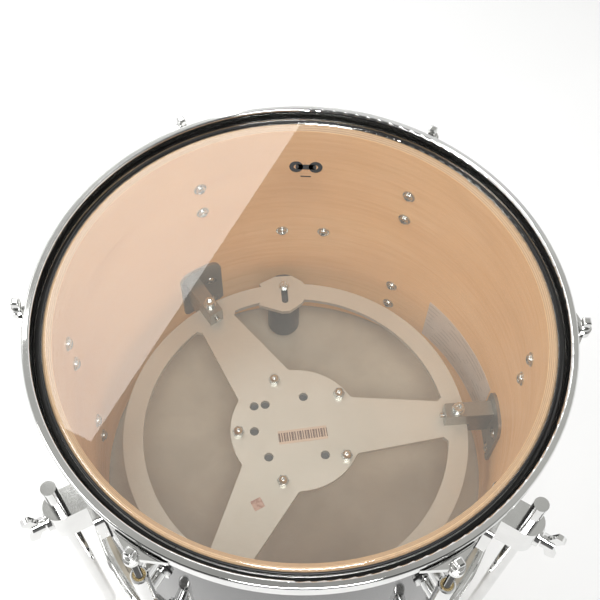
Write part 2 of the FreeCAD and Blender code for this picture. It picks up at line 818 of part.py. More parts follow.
def wing_bolt(name):
    """Clamp bolt with a boss and two wings, at station 0 with its axis along +X."""
    start = "leg_circle + leg_radius + tip_gap"
    seat = "block_out + 2 + wing_gap"
    shank_long = "%s - (%s) + 1" % (seat, start)
    shank = rod_between(name + "_shank", "wing_bolt_radius", (start, "0", "middle"), shank_long, "x")
    boss = rod_between(name + "_boss", "wing_boss", (seat, "0", "middle"), "wing_boss_long", "x")
    root = (seat + " + wing_root", "wing_boss - 1")
    shoulder = (seat + " + wing_boss_long", "wing_boss - 1")
    outer_corner = (seat + " + wing_long", "wing_span - wing_slope - 1")
    inner_corner = (seat + " + wing_long - wing_wide", "wing_span - 1")
    body = new_body(name + "_wings")
    low_wing = new_sketch(body, name + "_low_wing", "XZ_Plane", "0 - wing_thick / 2")
    low_points = [(x, "middle - (%s)" % reach) for x, reach in (root, shoulder, outer_corner, inner_corner)]
    low_points[2] += ("wing_tip_round", -1)
    outline(low_wing, low_points)
    document.recompute()
    pad(body, low_wing, name + "_low_wing_pad", "wing_thick")
    document.recompute()
    high_wing = new_sketch(body, name + "_high_wing", "XZ_Plane", "0 - wing_thick / 2")
    high_points = [(x, "middle + " + reach) for x, reach in (inner_corner, outer_corner, shoulder, root)]
    high_points[0] += ("wing_tip_round", -1)
    outline(high_wing, high_points)
    document.recompute()
    pad(body, high_wing, name + "_high_wing_pad", "wing_thick")
    return fuse(name, [shank, boss, body])


def leg_path(body, name):
    """Upright run, outward bend and slanted run of a leg, in the XZ plane."""
    sketch = new_sketch(body, name, "XZ_Plane")
    bend_z = "middle - leg_bend_drop"
    outline(
        sketch,
        [
            ("leg_circle", "middle + leg_above"),
            ("leg_circle", bend_z, "leg_bend_radius", 1),
            (
                "leg_circle + leg_bend_radius * (1 - cos(leg_bend * 1 deg))",
                bend_z + " - leg_bend_radius * sin(leg_bend * 1 deg)",
            ),
            (TIP_X, TIP_Z),
        ],
        closed=False,
    )
    return sketch


TIP_Z = "0 - head_height + foot_long - foot_grip + 2"
SLANT_START_X = "(leg_circle + leg_bend_radius * (1 - cos(leg_bend * 1 deg)))"
SLANT_START_Z = "(middle - leg_bend_drop - leg_bend_radius * sin(leg_bend * 1 deg))"
TIP_X = SLANT_START_X + " + (" + SLANT_START_Z + " - (" + TIP_Z + ")) * tan(leg_bend * 1 deg)"


def leg(name):
    body = new_body(name)
    path = leg_path(body, name + "_path")
    section = ring_sketch(
        body, name + "_section", "XY_Plane", [("leg_circle", "0", "leg_radius")], "middle + leg_above"
    )
    document.recompute()
    pipe = body.newObject("PartDesign::AdditivePipe", name + "_pipe")
    pipe.Profile = section
    pipe.Spine = (path, ["Edge1", "Edge2", "Edge3"])
    pipe.Mode = "Standard"
    body.Tip = pipe
    return body


def foot(name):
    """Rubber foot pushed on the leg's slanted end and worn flat where it stands."""
    turned = turned_body(
        name + "_turned",
        [
            ("0", "0 - foot_sole"),
            ("foot_radius - foot_round", "0 - foot_sole", "foot_round", 1),
            ("foot_radius", "0 - foot_sole + foot_round"),
            ("foot_radius", "0"),
            ("foot_neck", "foot_grip - foot_bevel"),
            ("foot_neck - foot_bevel", "foot_grip"),
            ("leg_radius + running_fit", "foot_grip"),
            ("leg_radius + running_fit", "0"),
            ("0", "0"),
        ],
    )
    turned.Placement = FreeCAD.Placement(FreeCAD.Vector(), FreeCAD.Rotation(FreeCAD.Vector(0, 1, 0), 0.001))
    turned.setExpression("Placement.Rotation.Angle", formula("(0 - leg_bend) * 1"))
    place_at(turned, TIP_X, "0", TIP_Z)
    corner = (TIP_X + " - foot_long", "0 - foot_long", "0 - head_height - foot_long")
    below = brick(name + "_floor", corner, ("2 * foot_long", "2 * foot_long", "foot_long"))
    return cut(name, turned, [below])


bracket_screws = []
for index in range(3):
    angle = "bracket_turn + %d * bracket_step" % index
    number_name = str(index + 1)
    for name, maker in (
        ("leg_bracket_", leg_bracket),
        ("leg_", leg),
        ("leg_foot_", foot),
        ("wing_bolt_", wing_bolt),
    ):
        turn_to(finish(name + number_name, maker(name + number_name)), angle)
    for side in (-0.5, 0.5):
        mark = "%s_%d" % (number_name, side + 1)
        screw_angle = angle + " + %g * bracket_spread" % side
        tip = "foot_face + bracket_plate - 1"
        parts = radial_screw("bracket_screw_part_" + mark, screw_angle, "middle", tip)
        bracket_screws.append(fuse("bracket_screw_" + mark, parts))
    blank = brick(
        "bracket_gasket_" + number_name,
        ("shell_outer - 6", "0 - bracket_wide / 2", "middle - bracket_tall / 2"),
        ("12", "bracket_wide", "bracket_tall"),
    )
    gasket_holes = []
    for side in (-0.5, 0.5):
        mark = "%s_%d" % (number_name, side + 1)
        gasket_holes.append(
            radial_rod(
                "bracket_gasket_hole_" + mark,
                "screw_radius + hole_clear",
                "%g * bracket_spread" % side,
                "middle",
                "shell_outer - 6",
                "14",
            )
        )
    gaskets.append(turn_to(cut("bracket_gasket_cut_" + number_name, blank, gasket_holes), angle))
finish("bracket_screws", gather("bracket_screws", bracket_screws))
finish("gaskets", common("gaskets", gasket_band, fuse("gasket_blanks", gaskets)))

# ---------------------------------------------------------------------------------------------
# Three-spoke plate, its wall brackets and screws
# ---------------------------------------------------------------------------------------------


def spider_plate(label):
    """One flat plate: a ring, a hub, three tapered spokes and a slotted ear."""
    body = new_body(label)
    ring = ring_sketch(
        body, "ring_outline", "XY_Plane", [("0", "0", "ring_outer"), ("0", "0", "ring_inner")], "plate_base"
    )
    document.recompute()
    pad(body, ring, "ring_pad", "plate_thick")
    hub = ring_sketch(body, "hub_outline", "XY_Plane", [("0", "0", "hub_radius")], "plate_base")
    document.recompute()
    pad(body, hub, "hub_pad", "plate_thick")
    spoke_sketch = new_sketch(body, "spoke_outline", "XY_Plane", "plate_base")
    outline(
        spoke_sketch,
        [
            ("hub_radius / 2", "0 - spoke_root - hub_radius / 2 * spoke_taper"),
            ("ring_inner + 6", "0 - spoke_end + 6 * spoke_taper"),
            ("ring_inner + 6", "spoke_end - 6 * spoke_taper"),
            ("hub_radius / 2", "spoke_root + hub_radius / 2 * spoke_taper"),
        ],
    )
    document.recompute()
    spoke = pad(body, spoke_sketch, "spoke_pad", "plate_thick")
    polar(body, [spoke], "spokes", 3)
    document.recompute()
    ear_sketch = new_sketch(body, "ear_outline", "XY_Plane", "plate_base")
    outline(ear_sketch, slot_ear_points())
    document.recompute()
    pad(body, ear_sketch, "ear_pad", "plate_thick")
    slot_sketch = new_sketch(body, "slot_outline", "XY_Plane", "plate_top + 1")
    outline(
        slot_sketch,
        [
            ("slot_half", "slot_inner + slot_half"),
            ("slot_half", "slot_outer - slot_half", "slot_half", 1),
            ("0", "slot_outer", "slot_half", 1),
            ("0 - slot_half", "slot_outer - slot_half"),
            ("0 - slot_half", "slot_inner + slot_half", "slot_half", 1),
            ("0", "slot_inner", "slot_half", 1),
        ],
    )
    document.recompute()
    pocket(body, slot_sketch, "slot_pocket", "plate_thick + 2")
    across = "hub_circle * cos(stud_turn * 1 deg)"
    up = "hub_circle * sin(stud_turn * 1 deg)"
    stud_holes = [(across, up, "hub_stud + running_fit")]
    stud_sketch = ring_sketch(body, "stud_outline", "XY_Plane", stud_holes, "plate_top + 1")
    document.recompute()
    stud = pocket(body, stud_sketch, "stud_pocket", "plate_thick + 2")
    polar(body, [stud], "stud_pockets", 5)
    document.recompute()
    access = ring_sketch(body, "access_outline", "XY_Plane", access_holes(), "plate_top + 1")
    document.recompute()
    pocket(body, access, "access_pocket", "plate_thick + 2")
    tie_holes = [("arm_bolt_circle", "0", "hub_stud + running_fit")]
    bolts = ring_sketch(body, "tie_bolt_outline", "XY_Plane", tie_holes, "plate_top + 1")
    document.recompute()
    bolt = pocket(body, bolts, "tie_bolt_pocket", "plate_thick + 2")
    polar(body, [bolt], "tie_bolt_pockets", 3)
    document.recompute()
    ease_spokes(body)
    return body


def slot_ear_points():
    """Outline of the ear on the ring, about the +Y axis of the plate."""
    right = [
        ("ear_half", "ring_outer - ear_shoulder - 1"),
        ("ear_half - ear_shoulder", "ring_outer + 2"),
        ("ear_nose", "ear_out"),
    ]
    inward = [
        ("ear_point", "ear_in"),
        ("ear_half - ear_shoulder - 2", "ring_inner - ear_shoulder - 2"),
        ("ear_half", "ring_inner + ear_shoulder"),
    ]
    left = [("0 - " + x, y) for x, y in reversed(right)]
    left_inward = [("0 - " + x, y) for x, y in reversed(inward)]
    return right + left + left_inward + inward


# Access holes of the hub plate: distance from the axis and turn from the first spoke.
ACCESS = [(35, 74), (48, 146), (40, 136), (41, 180), (40, 224), (39, 311)]


def access_holes():
    holes = []
    for reach, angle in ACCESS:
        across = "%g * cos(%g deg)" % (reach, angle)
        up = "%g * sin(%g deg)" % (reach, angle)
        holes.append((across, up, "access_radius"))
    return holes


def corner_edges(shape, radius, half_width):
    """Names of the upright edges where the sides of the three spokes reach a given radius."""
    names = []
    widest = math.degrees(math.asin(number(half_width) / number(radius))) + 2
    for index, edge in enumerate(shape.Edges, start=1):
        if edge.Curve.TypeId != "Part::GeomLine" or abs(edge.Length - number("plate_thick")) > 0.01:
            continue
        reach = math.hypot(edge.CenterOfMass.x, edge.CenterOfMass.y)
        turn = math.degrees(math.atan2(edge.CenterOfMass.y, edge.CenterOfMass.x))
        off_spoke = abs((turn + 60) % 120 - 60)
        if abs(reach - number(radius)) < 0.1 and off_spoke < widest:
            names.append("Edge%d" % index)
    return names


def ease_spokes(body):
    """Fillets the corners where the spokes meet the hub, and chamfers those at the ring."""
    plain = body.Tip
    fillet = body.newObject("PartDesign::Fillet", "hub_fillets")
    fillet.Base = (plain, corner_edges(plain.Shape, "hub_radius", "spoke_root"))
    bind(fillet, Radius="spoke_fillet")
    body.Tip = fillet
    document.recompute()
    chamfer = body.newObject("PartDesign::Chamfer", "ring_chamfers")
    chamfer.Base = (fillet, corner_edges(fillet.Shape, "ring_inner", "spoke_end"))
    bind(chamfer, Size="spoke_chamfer")
    body.Tip = chamfer


spider = finish("spider_plate", spider_plate("spider_plate"))
turn_to(spider, "spider_turn")


def tie_bracket(name):
    """Wall bracket at the first spoke: a curved wall plate and an arm over the ring."""
    low = "plate_top - tie_drop"
    tall = "tie_rise + tie_drop"
    wall = cut(
        name + "_wall",
        rod_between(name + "_wall_out", "shell_inner", ("0", "0", low), tall, "z"),
        [rod_between(name + "_wall_in", "tie_inner", ("0", "0", low + " - 1"), tall + " + 2", "z")],
    )
    window_body = new_body(name + "_window")
    window = new_sketch(window_body, name + "_window_outline", "YZ_Plane", "tie_inner - tie_window")
    high = "plate_top + tie_rise"
    outline(
        window,
        [
            ("tie_side - tie_window", low + " + tie_bevel"),
            ("tie_side - tie_window + tie_bevel", low),
            ("tie_side + tie_window - tie_bevel", low),
            ("tie_side + tie_window", low + " + tie_bevel"),
            ("tie_side + tie_window", high + " - tie_corner", "tie_corner", 1),
            ("tie_side + tie_window - tie_corner", high),
            ("tie_side - tie_window + tie_corner", high, "tie_corner", 1),
            ("tie_side - tie_window", high + " - tie_corner"),
        ],
    )
    document.recompute()
    pad(window_body, window, name + "_window_pad", "tie_window + shell_wall")
    plate = common(name + "_plate", wall, window_body)
    arm = brick(
        name + "_arm",
        ("arm_inner", "0 - arm_wide / 2", "plate_top"),
        ("tie_inner - arm_inner + 1", "arm_wide", "arm_tall"),
    )
    gusset = brick(
        name + "_gusset",
        ("ring_outer + 2", "0 - arm_wide / 2", "plate_top - gusset_deep"),
        ("tie_inner - ring_outer - 1", "arm_wide", "gusset_deep"),
    )
    bolt_start = ("arm_bolt_circle", "0", "plate_top - 1")
    end_start = ("arm_inner - 1", "0", "plate_top + arm_tall * 0.45")
    cutters = [
        rod_between(name + "_bolt_hole", "hub_stud + running_fit", bolt_start, "arm_tall + 2", "z"),
        rod_between(name + "_end_hole", "end_screw + running_fit", end_start, "7", "x"),
    ]
    for screw in (-0.5, 0.5):
        mark = "%s_%d" % (name, screw + 1)
        cutters.append(
            radial_rod(
                mark + "_relief",
                "screw_washer + 0.4",
                "0 - spider_turn",
                "2 * middle + lug_offset + %g * screw_pitch" % screw,
                "tie_inner - 8",
                "20",
            )
        )
    return cut(name, fuse(name + "_solid", [plate, arm, gusset]), cutters)


def tie_screws(name):
    """Cap screw with washer through the arm and the ring, and the arm's end screw."""
    washer_z = "plate_top + arm_tall"
    washer_start = ("arm_bolt_circle", "0", washer_z)
    cap_start = ("arm_bolt_circle", "0", washer_z + " + washer_thick")
    washer = rod_between(name + "_washer", "screw_washer", washer_start, "washer_thick", "z")
    cap = rod_between(name + "_cap", "cap_radius", cap_start, "cap_tall", "z")
    hexagon = document.addObject("Part::Prism", name + "_hexagon")
    hexagon.Polygon = 6
    bind(hexagon, Circumradius="cap_radius * 0.55", Height="cap_tall")
    place_at(hexagon, "arm_bolt_circle", "0", washer_z + " + washer_thick + cap_tall * 0.4")
    shank_start = ("arm_bolt_circle", "0", "plate_base - 6")
    shank = rod_between(name + "_shank", "hub_stud", shank_start, "arm_tall + plate_thick + 7", "z")
    nut = document.addObject("Part::Prism", name + "_nut")
    nut.Polygon = 6
    bind(nut, Circumradius="nut_flats / 2 / cos(30 deg)", Height="nut_tall")
    place_at(nut, "arm_bolt_circle", "0", "plate_base - nut_tall")
    through = cut(name + "_through", fuse(name + "_stack", [washer, cap, shank, nut]), [hexagon])
    end_start = ("arm_inner - end_screw_out", "0", "plate_top + arm_tall * 0.45")
    ending = rod_between(name + "_ending", "end_screw", end_start, "end_screw_out + 5", "x")
    return gather(name, [through, ending])


tie_groups = []
for index in range(3):
    angle = "spider_turn + %d * 120" % index
    name = "spider_bracket_%d" % (index + 1)
    turn_to(finish(name, tie_bracket(name)), angle)
    tie_groups.append(turn_to(tie_screws("tie_screws_%d" % (index + 1)), angle))
finish("spider_bracket_screws", gather("spider_bracket_screws", tie_groups))

# ---------------------------------------------------------------------------------------------
# Hub nuts and the housing under the hub
# ---------------------------------------------------------------------------------------------


def dome_nut(name, index):
    """Dome nut and stud through the hub, at one of the five places."""
    angle = "(spider_turn + stud_turn + %d * 72)" % index
    across = "hub_circle * cos(%s * 1 deg)" % angle
    up = "hub_circle * sin(%s * 1 deg)" % angle
    hexagon = document.addObject("Part::Prism", name + "_hexagon")
    hexagon.Polygon = 6
    bind(hexagon, Circumradius="nut_flats / 2 / cos(30 deg)", Height="nut_tall")
    place_at(hexagon, across, up, "plate_top")
    dome = document.addObject("Part::Sphere", name + "_dome")
    bind(dome, Radius="nut_flats / 2 - 0.3")
    place_at(dome, across, up, "plate_top + nut_tall")
    stud_start = (across, up, "plate_base - housing_flange_tall + 1")
    stud = rod_between(name + "_stud", "hub_stud", stud_start, "plate_thick + housing_flange_tall", "z")
    return fuse(name, [hexagon, dome, stud])


dome_nuts = [dome_nut("hub_nut_%d" % (index + 1), index) for index in range(5)]
finish("hub_nuts", gather("hub_nuts", dome_nuts))

housing_turned = turned_body(
    "housing_turned",
    [
        ("0", "plate_base"),
        ("housing_flange", "plate_base"),
        ("housing_flange", "plate_base - housing_flange_tall"),
        ("housing_radius", "plate_base - housing_flange_tall"),
        ("housing_radius", "plate_base - housing_tall"),
        ("housing_radius - housing_wall", "plate_base - housing_tall"),
        ("housing_radius - housing_wall", "plate_base - housing_wall"),
        ("0", "plate_base - housing_wall"),
    ],
)
tappings = []
for index in range(5):
    angle = "spider_turn + stud_turn + %d * 72" % index
    low = "plate_base - housing_flange_tall - 1"
    name = "housing_tapping_%d" % (index + 1)
    hole = rod_between(name, "hub_stud + running_fit", ("0", "0", "0"), "housing_flange_tall + 2", "z")
    place_round(hole, "hub_circle", angle, low)
    tappings.append(hole)
finish("hub_housing", cut("hub_housing", housing_turned, tappings))
finish(
    "hub_housing_cover",
    turned_body(
        "hub_housing_cover",
        [
            ("0", "plate_base - housing_tall"),
            ("housing_radius", "plate_base - housing_tall"),
            ("housing_radius", "plate_base - housing_tall - cover_thick + 1"),
            ("housing_radius - 1", "plate_base - housing_tall - cover_thick"),
            ("0", "plate_base - housing_tall - cover_thick"),
        ],
    ),
)

# ---------------------------------------------------------------------------------------------
# Canister on the slotted ear, with its clamp bolt
# ---------------------------------------------------------------------------------------------

canister_turned = turned_body(
    "canister_turned",
    [
        ("canister_bolt + running_fit", "plate_base - seat_gap"),
        ("canister_collar - 1", "plate_base - seat_gap"),
        ("canister_collar", "plate_base - seat_gap - 1"),
        ("canister_collar", "plate_base - seat_gap - canister_collar_tall + 1"),
        ("canister_collar - 1", "plate_base - seat_gap - canister_collar_tall"),
        ("canister_radius", "plate_base - seat_gap - canister_collar_tall"),
        ("canister_radius", "plate_base - canister_tall + canister_round", "canister_round", -1),
        ("canister_radius - canister_round", "plate_base - canister_tall"),
        ("0", "plate_base - canister_tall"),
        ("0", "plate_base - seat_gap - canister_collar_tall - 6"),
        ("canister_bolt + running_fit", "plate_base - seat_gap - canister_collar_tall - 6"),
    ],
)
place_at(canister_turned, y="canister_circle")
canister = finish("canister", gather("canister", [canister_turned]))
turn_to(canister, "spider_turn")

shank_start = ("0", "canister_circle", "plate_base - canister_collar_tall")
shank_long = "plate_thick + canister_collar_tall + washer_thick + 1"
canister_shank = rod_between("canister_shank", "canister_bolt", shank_start, shank_long, "z")
disc_start = ("0", "canister_circle", "plate_top + seat_gap")
canister_disc = rod_between("canister_washer_disc", "canister_washer", disc_start, "washer_thick", "z")
bolt_head = document.addObject("Part::Prism", "canister_bolt_head")
bolt_head.Polygon = 6
bind(bolt_head, Circumradius="canister_nut / 2 / cos(30 deg)", Height="nut_tall")
place_at(bolt_head, "0", "canister_circle", "plate_top + seat_gap + washer_thick")
canister_bolt = finish("canister_bolt", fuse("canister_bolt", [canister_shank, canister_disc, bolt_head]))
turn_to(canister_bolt, "spider_turn")

# ---------------------------------------------------------------------------------------------
# Air vent
# ---------------------------------------------------------------------------------------------



def vent_rod(name, radius, start, length):
    """A cylinder on the vent's radial axis."""
    return radial_rod(name, radius, "vent_turn", "middle", start, length)


tube_radius = "vent_bore + vent_wall - running_fit"
vent_tube = vent_rod("vent_tube", tube_radius, "shell_inner - 1.5", "shell_wall + 2")
vent_rim = vent_rod("vent_rim", "vent_flange", "shell_outer - 2", "vent_flange_thick + 2")
vent_through = vent_rod("vent_through", "vent_bore", "shell_inner - 4", "shell_wall + 12")
vent_skin = cut("vent_skin", fuse("vent_solid", [vent_tube, vent_rim]), [vent_through])
bed_radius = "vent_bore + vent_wall - running_fit / 2"
bed_start = ("0", "0", "middle - 2 * vent_flange")
vent_bed = rod_between("vent_bed", "shell_outer", bed_start, "4 * vent_flange", "z")
vent_bed_hole = vent_rod("vent_bed_hole", bed_radius, "shell_inner - 8", "shell_wall + 16")
vent_rim_bed = cut("vent_rim_bed", vent_bed, [vent_bed_hole])
finish("air_vent", cut("air_vent", vent_skin, [vent_rim_bed]))

# ---------------------------------------------------------------------------------------------
# Checks and hand-over
# ---------------------------------------------------------------------------------------------

document.recompute()
failed = [item.Name for item in document.Objects if "Invalid" in item.State or "Error" in item.State]
if failed:
    raise RuntimeError("failed features: " + ", ".join(failed))
for item in finished:
    if item.Shape.isNull() or not item.Shape.isValid() or not item.Shape.Solids:
        raise RuntimeError("bad shape: " + item.Label)

os.makedirs("parts", exist_ok=True)
for item in finished:
    item.Shape.exportStep(os.path.join("parts", item.Label + ".step"))
    box = item.Shape.optimalBoundingBox(False)
    facts = (item.Label, len(item.Shape.Solids), item.Shape.Volume, box.ZMin, box.ZMax)
    print("%-24s solids %3d  volume %12.1f  z %8.2f %8.2f" % facts)
print(len(finished), "sub-parts")
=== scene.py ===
# %% [markdown]
# A floor drum with a clear head, built as a lesson.
# The drum is a maple ply cylinder with a film head at each end.  Chrome hoops and tension rods hold
# the heads, and a three-spoke metal plate hangs inside.  A CAD model already fixes every size and
# every joint, so this script loads it first and dresses it.  Working in one shared frame, in metres,
# means that each new piece goes where the CAD says.

# %% Load the fixed frame
import bpy
import json
import math
from mathutils import Matrix, Quaternion, Vector


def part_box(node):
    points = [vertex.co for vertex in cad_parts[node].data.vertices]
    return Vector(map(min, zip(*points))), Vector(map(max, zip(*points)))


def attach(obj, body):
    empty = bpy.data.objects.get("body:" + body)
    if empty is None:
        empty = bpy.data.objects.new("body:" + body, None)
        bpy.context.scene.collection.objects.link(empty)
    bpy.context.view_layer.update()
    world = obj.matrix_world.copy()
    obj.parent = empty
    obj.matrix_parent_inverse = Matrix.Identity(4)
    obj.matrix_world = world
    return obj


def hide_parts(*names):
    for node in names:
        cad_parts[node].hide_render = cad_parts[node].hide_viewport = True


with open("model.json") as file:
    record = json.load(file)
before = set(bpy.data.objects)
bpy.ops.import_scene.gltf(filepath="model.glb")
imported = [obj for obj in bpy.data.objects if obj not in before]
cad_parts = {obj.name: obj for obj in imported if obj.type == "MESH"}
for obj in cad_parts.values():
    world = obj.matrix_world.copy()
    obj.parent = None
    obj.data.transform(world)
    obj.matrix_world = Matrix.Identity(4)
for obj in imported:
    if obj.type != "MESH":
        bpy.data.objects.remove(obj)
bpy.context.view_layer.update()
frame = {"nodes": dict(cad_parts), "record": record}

STATIONS = range(1, 7)
LEGS = (1, 2, 3)
MM = 0.001

# %% [markdown]
# The camera comes first, because it settles what the viewer sees.  It looks down into the drum
# through the upper head, so it aims at the centre of the hoop's top.  Its place is given as an
# azimuth, an elevation and a distance, which are easier to judge than three coordinates.

# %% Camera
hoop_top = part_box("batter_hoop")[1].z
aim = Vector((0, 0, hoop_top))
azimuth = math.radians(-90.818)
elevation = math.radians(58.889)
roll = math.radians(2.634)
distance = 0.73638
away = Vector((
    math.cos(elevation) * math.cos(azimuth),
    math.cos(elevation) * math.sin(azimuth),
    math.sin(elevation),
))
bpy.ops.object.camera_add(location=aim + distance * away)
camera = bpy.context.object
camera.name = "camera"
camera.rotation_mode = "QUATERNION"
turn_about_lens = Quaternion((0, 0, 1), roll)
camera.rotation_quaternion = (-away).to_track_quat("-Z", "Y") @ turn_about_lens
camera.data.lens = 56.96
camera.data.sensor_width = 36.0
camera.data.shift_x = -0.003
camera.data.shift_y = 0.0177
camera.data.clip_start = 0.01
camera.data.dof.use_dof = False
bpy.context.scene.camera = camera
print("camera at", [round(v, 4) for v in camera.location])

# %% [markdown]
# A few small helpers save typing.  Blender's operators act on everything that is selected, so each
# step starts with nothing selected.  A finished piece keeps its place in its mesh and its object at
# the world's origin, which is what transform_apply does.  The last helper hangs a piece on the body
# it rides on, and hides the CAD nodes that it stands for.

# %% Selection helpers
def only(piece):
    """Select one object, and make it the active one."""
    bpy.ops.object.select_all(action="DESELECT")
    piece.select_set(True)
    bpy.context.view_layer.objects.active = piece


def settle(piece):
    """Put the object's place, turn and scale into its mesh."""
    only(piece)
    bpy.ops.object.transform_apply(location=True, rotation=True, scale=True)
    return piece


def apply_modifiers(piece):
    """Turn every modifier of the piece into plain mesh."""
    only(piece)
    for modifier in list(piece.modifiers):
        bpy.ops.object.modifier_apply(modifier=modifier.name)
    return piece


def join(pieces, name):
    """Make one object out of several, and name it."""
    bpy.ops.object.select_all(action="DESELECT")
    for piece in pieces:
        piece.select_set(True)
    bpy.context.view_layer.objects.active = pieces[0]
    bpy.ops.object.join()
    pieces[0].name = name
    pieces[0].data.name = name
    return pieces[0]


def copy_at(piece, place):
    """A copy with its own mesh, moved by a matrix that goes into the mesh."""
    twin = piece.copy()
    twin.data = piece.data.copy()
    bpy.context.scene.collection.objects.link(twin)
    twin.matrix_world = place
    return settle(twin)


def mount(piece, body, slot, *stands_for):
    """Say what the piece rides on and which CAD nodes it stands for; the slot (finish) is not used."""
    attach(piece, body)
    if stands_for:
        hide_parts(*stands_for)
    print(piece.name, "rides on", body, "with", len(piece.data.polygons), "faces")


print("helpers: select, settle, apply, join, copy and mount")

# %% [markdown]
# A studio has a pale floor and large soft lights.  Chrome shows only what stands round it, so the
# surroundings matter as much as the lamps.  The sky of this studio is pale low down, greyer overhead,
# and dim on the camera's side, which draws dark lines inside the hoop.  One long softbox hangs over
# the back left, and its straight edge shows in the clear head.  Two more lamps, one high in front and
# one at the left, light the inside of the drum.

# %% Floor
floor_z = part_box("leg_foot_1")[0].z
bpy.ops.object.select_all(action="DESELECT")
bpy.ops.mesh.primitive_plane_add(size=9.0, location=(0, 0, floor_z))
floor = bpy.context.object
floor.name = "studio_floor"
settle(floor)
print("floor at", round(floor_z, 4))


# %% Surroundings
def add(tree, kind, **sockets):
    """Add a node and set its inputs by name, with _ for a space."""
    node = tree.nodes.new("ShaderNode" + kind)
    for name, value in sockets.items():
        node.inputs[name.replace("_", " ")].default_value = value
    return node


def math_node(tree, operation, first, second=None, third=None):
    """A Math node; each input is a number or a socket to link."""
    node = tree.nodes.new("ShaderNodeMath")
    node.operation = operation
    for place, value in enumerate((first, second, third)):
        if value is None:
            continue
        if isinstance(value, (int, float)):
            node.inputs[place].default_value = value
        else:
            tree.links.new(value, node.inputs[place])
    return node.outputs[0]


def ramp(tree, factor, *stops):
    """A Color Ramp; each stop is (position, (r, g, b))."""
    node = tree.nodes.new("ShaderNodeValToRGB")
    elements = node.color_ramp.elements
    while len(elements) < len(stops):
        elements.new(0.5)
    for element, (position, colour) in zip(elements, stops):
        element.position = position
        element.color = (*colour, 1.0)
    tree.links.new(factor, node.inputs["Fac"])
    return node.outputs["Color"]


world = bpy.data.worlds.new("studio")
bpy.context.scene.world = world
world.use_nodes = True
sky = world.node_tree
background = sky.nodes["Background"]
direction = add(sky, "TexCoord").outputs["Generated"]
camera_side = add(sky, "VectorMath")
camera_side.operation = "DOT_PRODUCT"
dark_elevation = math.radians(24)
camera_side.inputs[1].default_value = (0, -math.cos(dark_elevation), math.sin(dark_elevation))
sky.links.new(direction, camera_side.inputs[0])
height = add(sky, "SeparateXYZ")
sky.links.new(direction, height.inputs[0])
ceiling = ramp(sky, height.outputs["Z"], (0.0, (1.12, 1.12, 1.12)), (0.42, (1.05, 1.05, 1.05)),
               (0.68, (0.50, 0.50, 0.48)), (1.0, (0.52, 0.52, 0.50)))
shade = ramp(sky, camera_side.outputs["Value"], (0.30, (1.0, 1.0, 1.0)), (0.62, (0.14, 0.14, 0.14)))
around = add(sky, "Mix")
around.data_type = "RGBA"
around.blend_type = "MULTIPLY"
around.inputs["Factor"].default_value = 1.0
sky.links.new(ceiling, around.inputs["A"])
sky.links.new(shade, around.inputs["B"])
sky.links.new(around.outputs["Result"], background.inputs["Color"])
background.inputs["Strength"].default_value = 1.0
print("surroundings: pale back, dark side at elevation", round(math.degrees(dark_elevation)))


# %% Lamps
def lamp(name, centre, size, radiance, turn=0.0, facing=None):
    """A rectangular lamp; radiance is how bright its face looks, with white at 1."""
    bpy.ops.object.light_add(type="AREA", location=centre)
    light = bpy.context.object
    light.name = name
    light.data.shape = "RECTANGLE"
    light.data.size, light.data.size_y = size
    light.data.energy = radiance * math.pi * size[0] * size[1]
    light.rotation_euler = (0, 0, turn)
    if facing is not None:
        light.rotation_mode = "QUATERNION"
        light.rotation_quaternion = (facing - Vector(centre)).to_track_quat("-Z", "Y")
    light.visible_camera = False
    return light


lamp_height = 0.892
lamp_corner = Vector((-0.350, 0.265, lamp_height))
lamp_long = Vector((0.419, 0.908, 0))
lamp_wide = Vector((-lamp_long.y, lamp_long.x, 0))
long_side, wide_side = 1.3, 0.55
lamp_centre = lamp_corner + lamp_long * long_side / 2 + lamp_wide * wide_side / 2
lamp("softbox", lamp_centre, (long_side, wide_side), radiance=3.3,
     turn=math.atan2(lamp_long.y, lamp_long.x))
print("softbox centre", [round(v, 3) for v in lamp_centre])
centre_of_plate = Vector((0, 0, -0.2))
lamp("overhead", (0.10, -0.95, 1.75), (0.9, 0.7), radiance=17.5, facing=centre_of_plate)
lamp("left_fill", (-1.6, -0.3, 1.5), (0.9, 0.9), radiance=6.5, facing=centre_of_plate)

bpy.context.scene.view_settings.view_transform = "Standard"
bpy.context.scene.view_settings.look = "None"

# %% [markdown]
# Now the finishes.  Each material starts from the Principled shader.  A pattern reads Object
# coordinates, which are metres in the shared frame here, so a noise scale is a count per metre.
# Real metal is never even: fine noise in its roughness breaks up the reflections, and a very weak
# bump gives them a soft edge.


# %% Material helpers
def new_material(name, colour, metallic=0.0, roughness=0.5):
    """A material, its node tree and its Principled shader."""
    material = bpy.data.materials.new(name)
    material.use_nodes = True
    tree = material.node_tree
    shader = tree.nodes["Principled BSDF"]
    shader.inputs["Base Color"].default_value = (*colour, 1.0)
    shader.inputs["Metallic"].default_value = metallic
    shader.inputs["Roughness"].default_value = roughness
    return material, tree, shader


def noise(tree, scale, detail=3.0, stretch=(1, 1, 1), turn=(0, 0, 0), kind="Fac"):
    """Noise in Object coordinates; stretch above 1 packs the pattern closer on that axis."""
    mapping = add(tree, "Mapping")
    mapping.inputs["Scale"].default_value = stretch
    mapping.inputs["Rotation"].default_value = turn
    tree.links.new(add(tree, "TexCoord").outputs["Object"], mapping.inputs["Vector"])
    texture = add(tree, "TexNoise", Scale=scale, Detail=detail)
    tree.links.new(mapping.outputs["Vector"], texture.inputs["Vector"])
    return texture.outputs[kind]


def spread(tree, factor, low, high, start=0.3, stop=0.7):
    """Map a factor to the range low..high."""
    node = add(tree, "MapRange")
    for name, value in (("From Min", start), ("From Max", stop), ("To Min", low), ("To Max", high)):
        node.inputs[name].default_value = value
    tree.links.new(factor, node.inputs["Value"])
    return node.outputs["Result"]


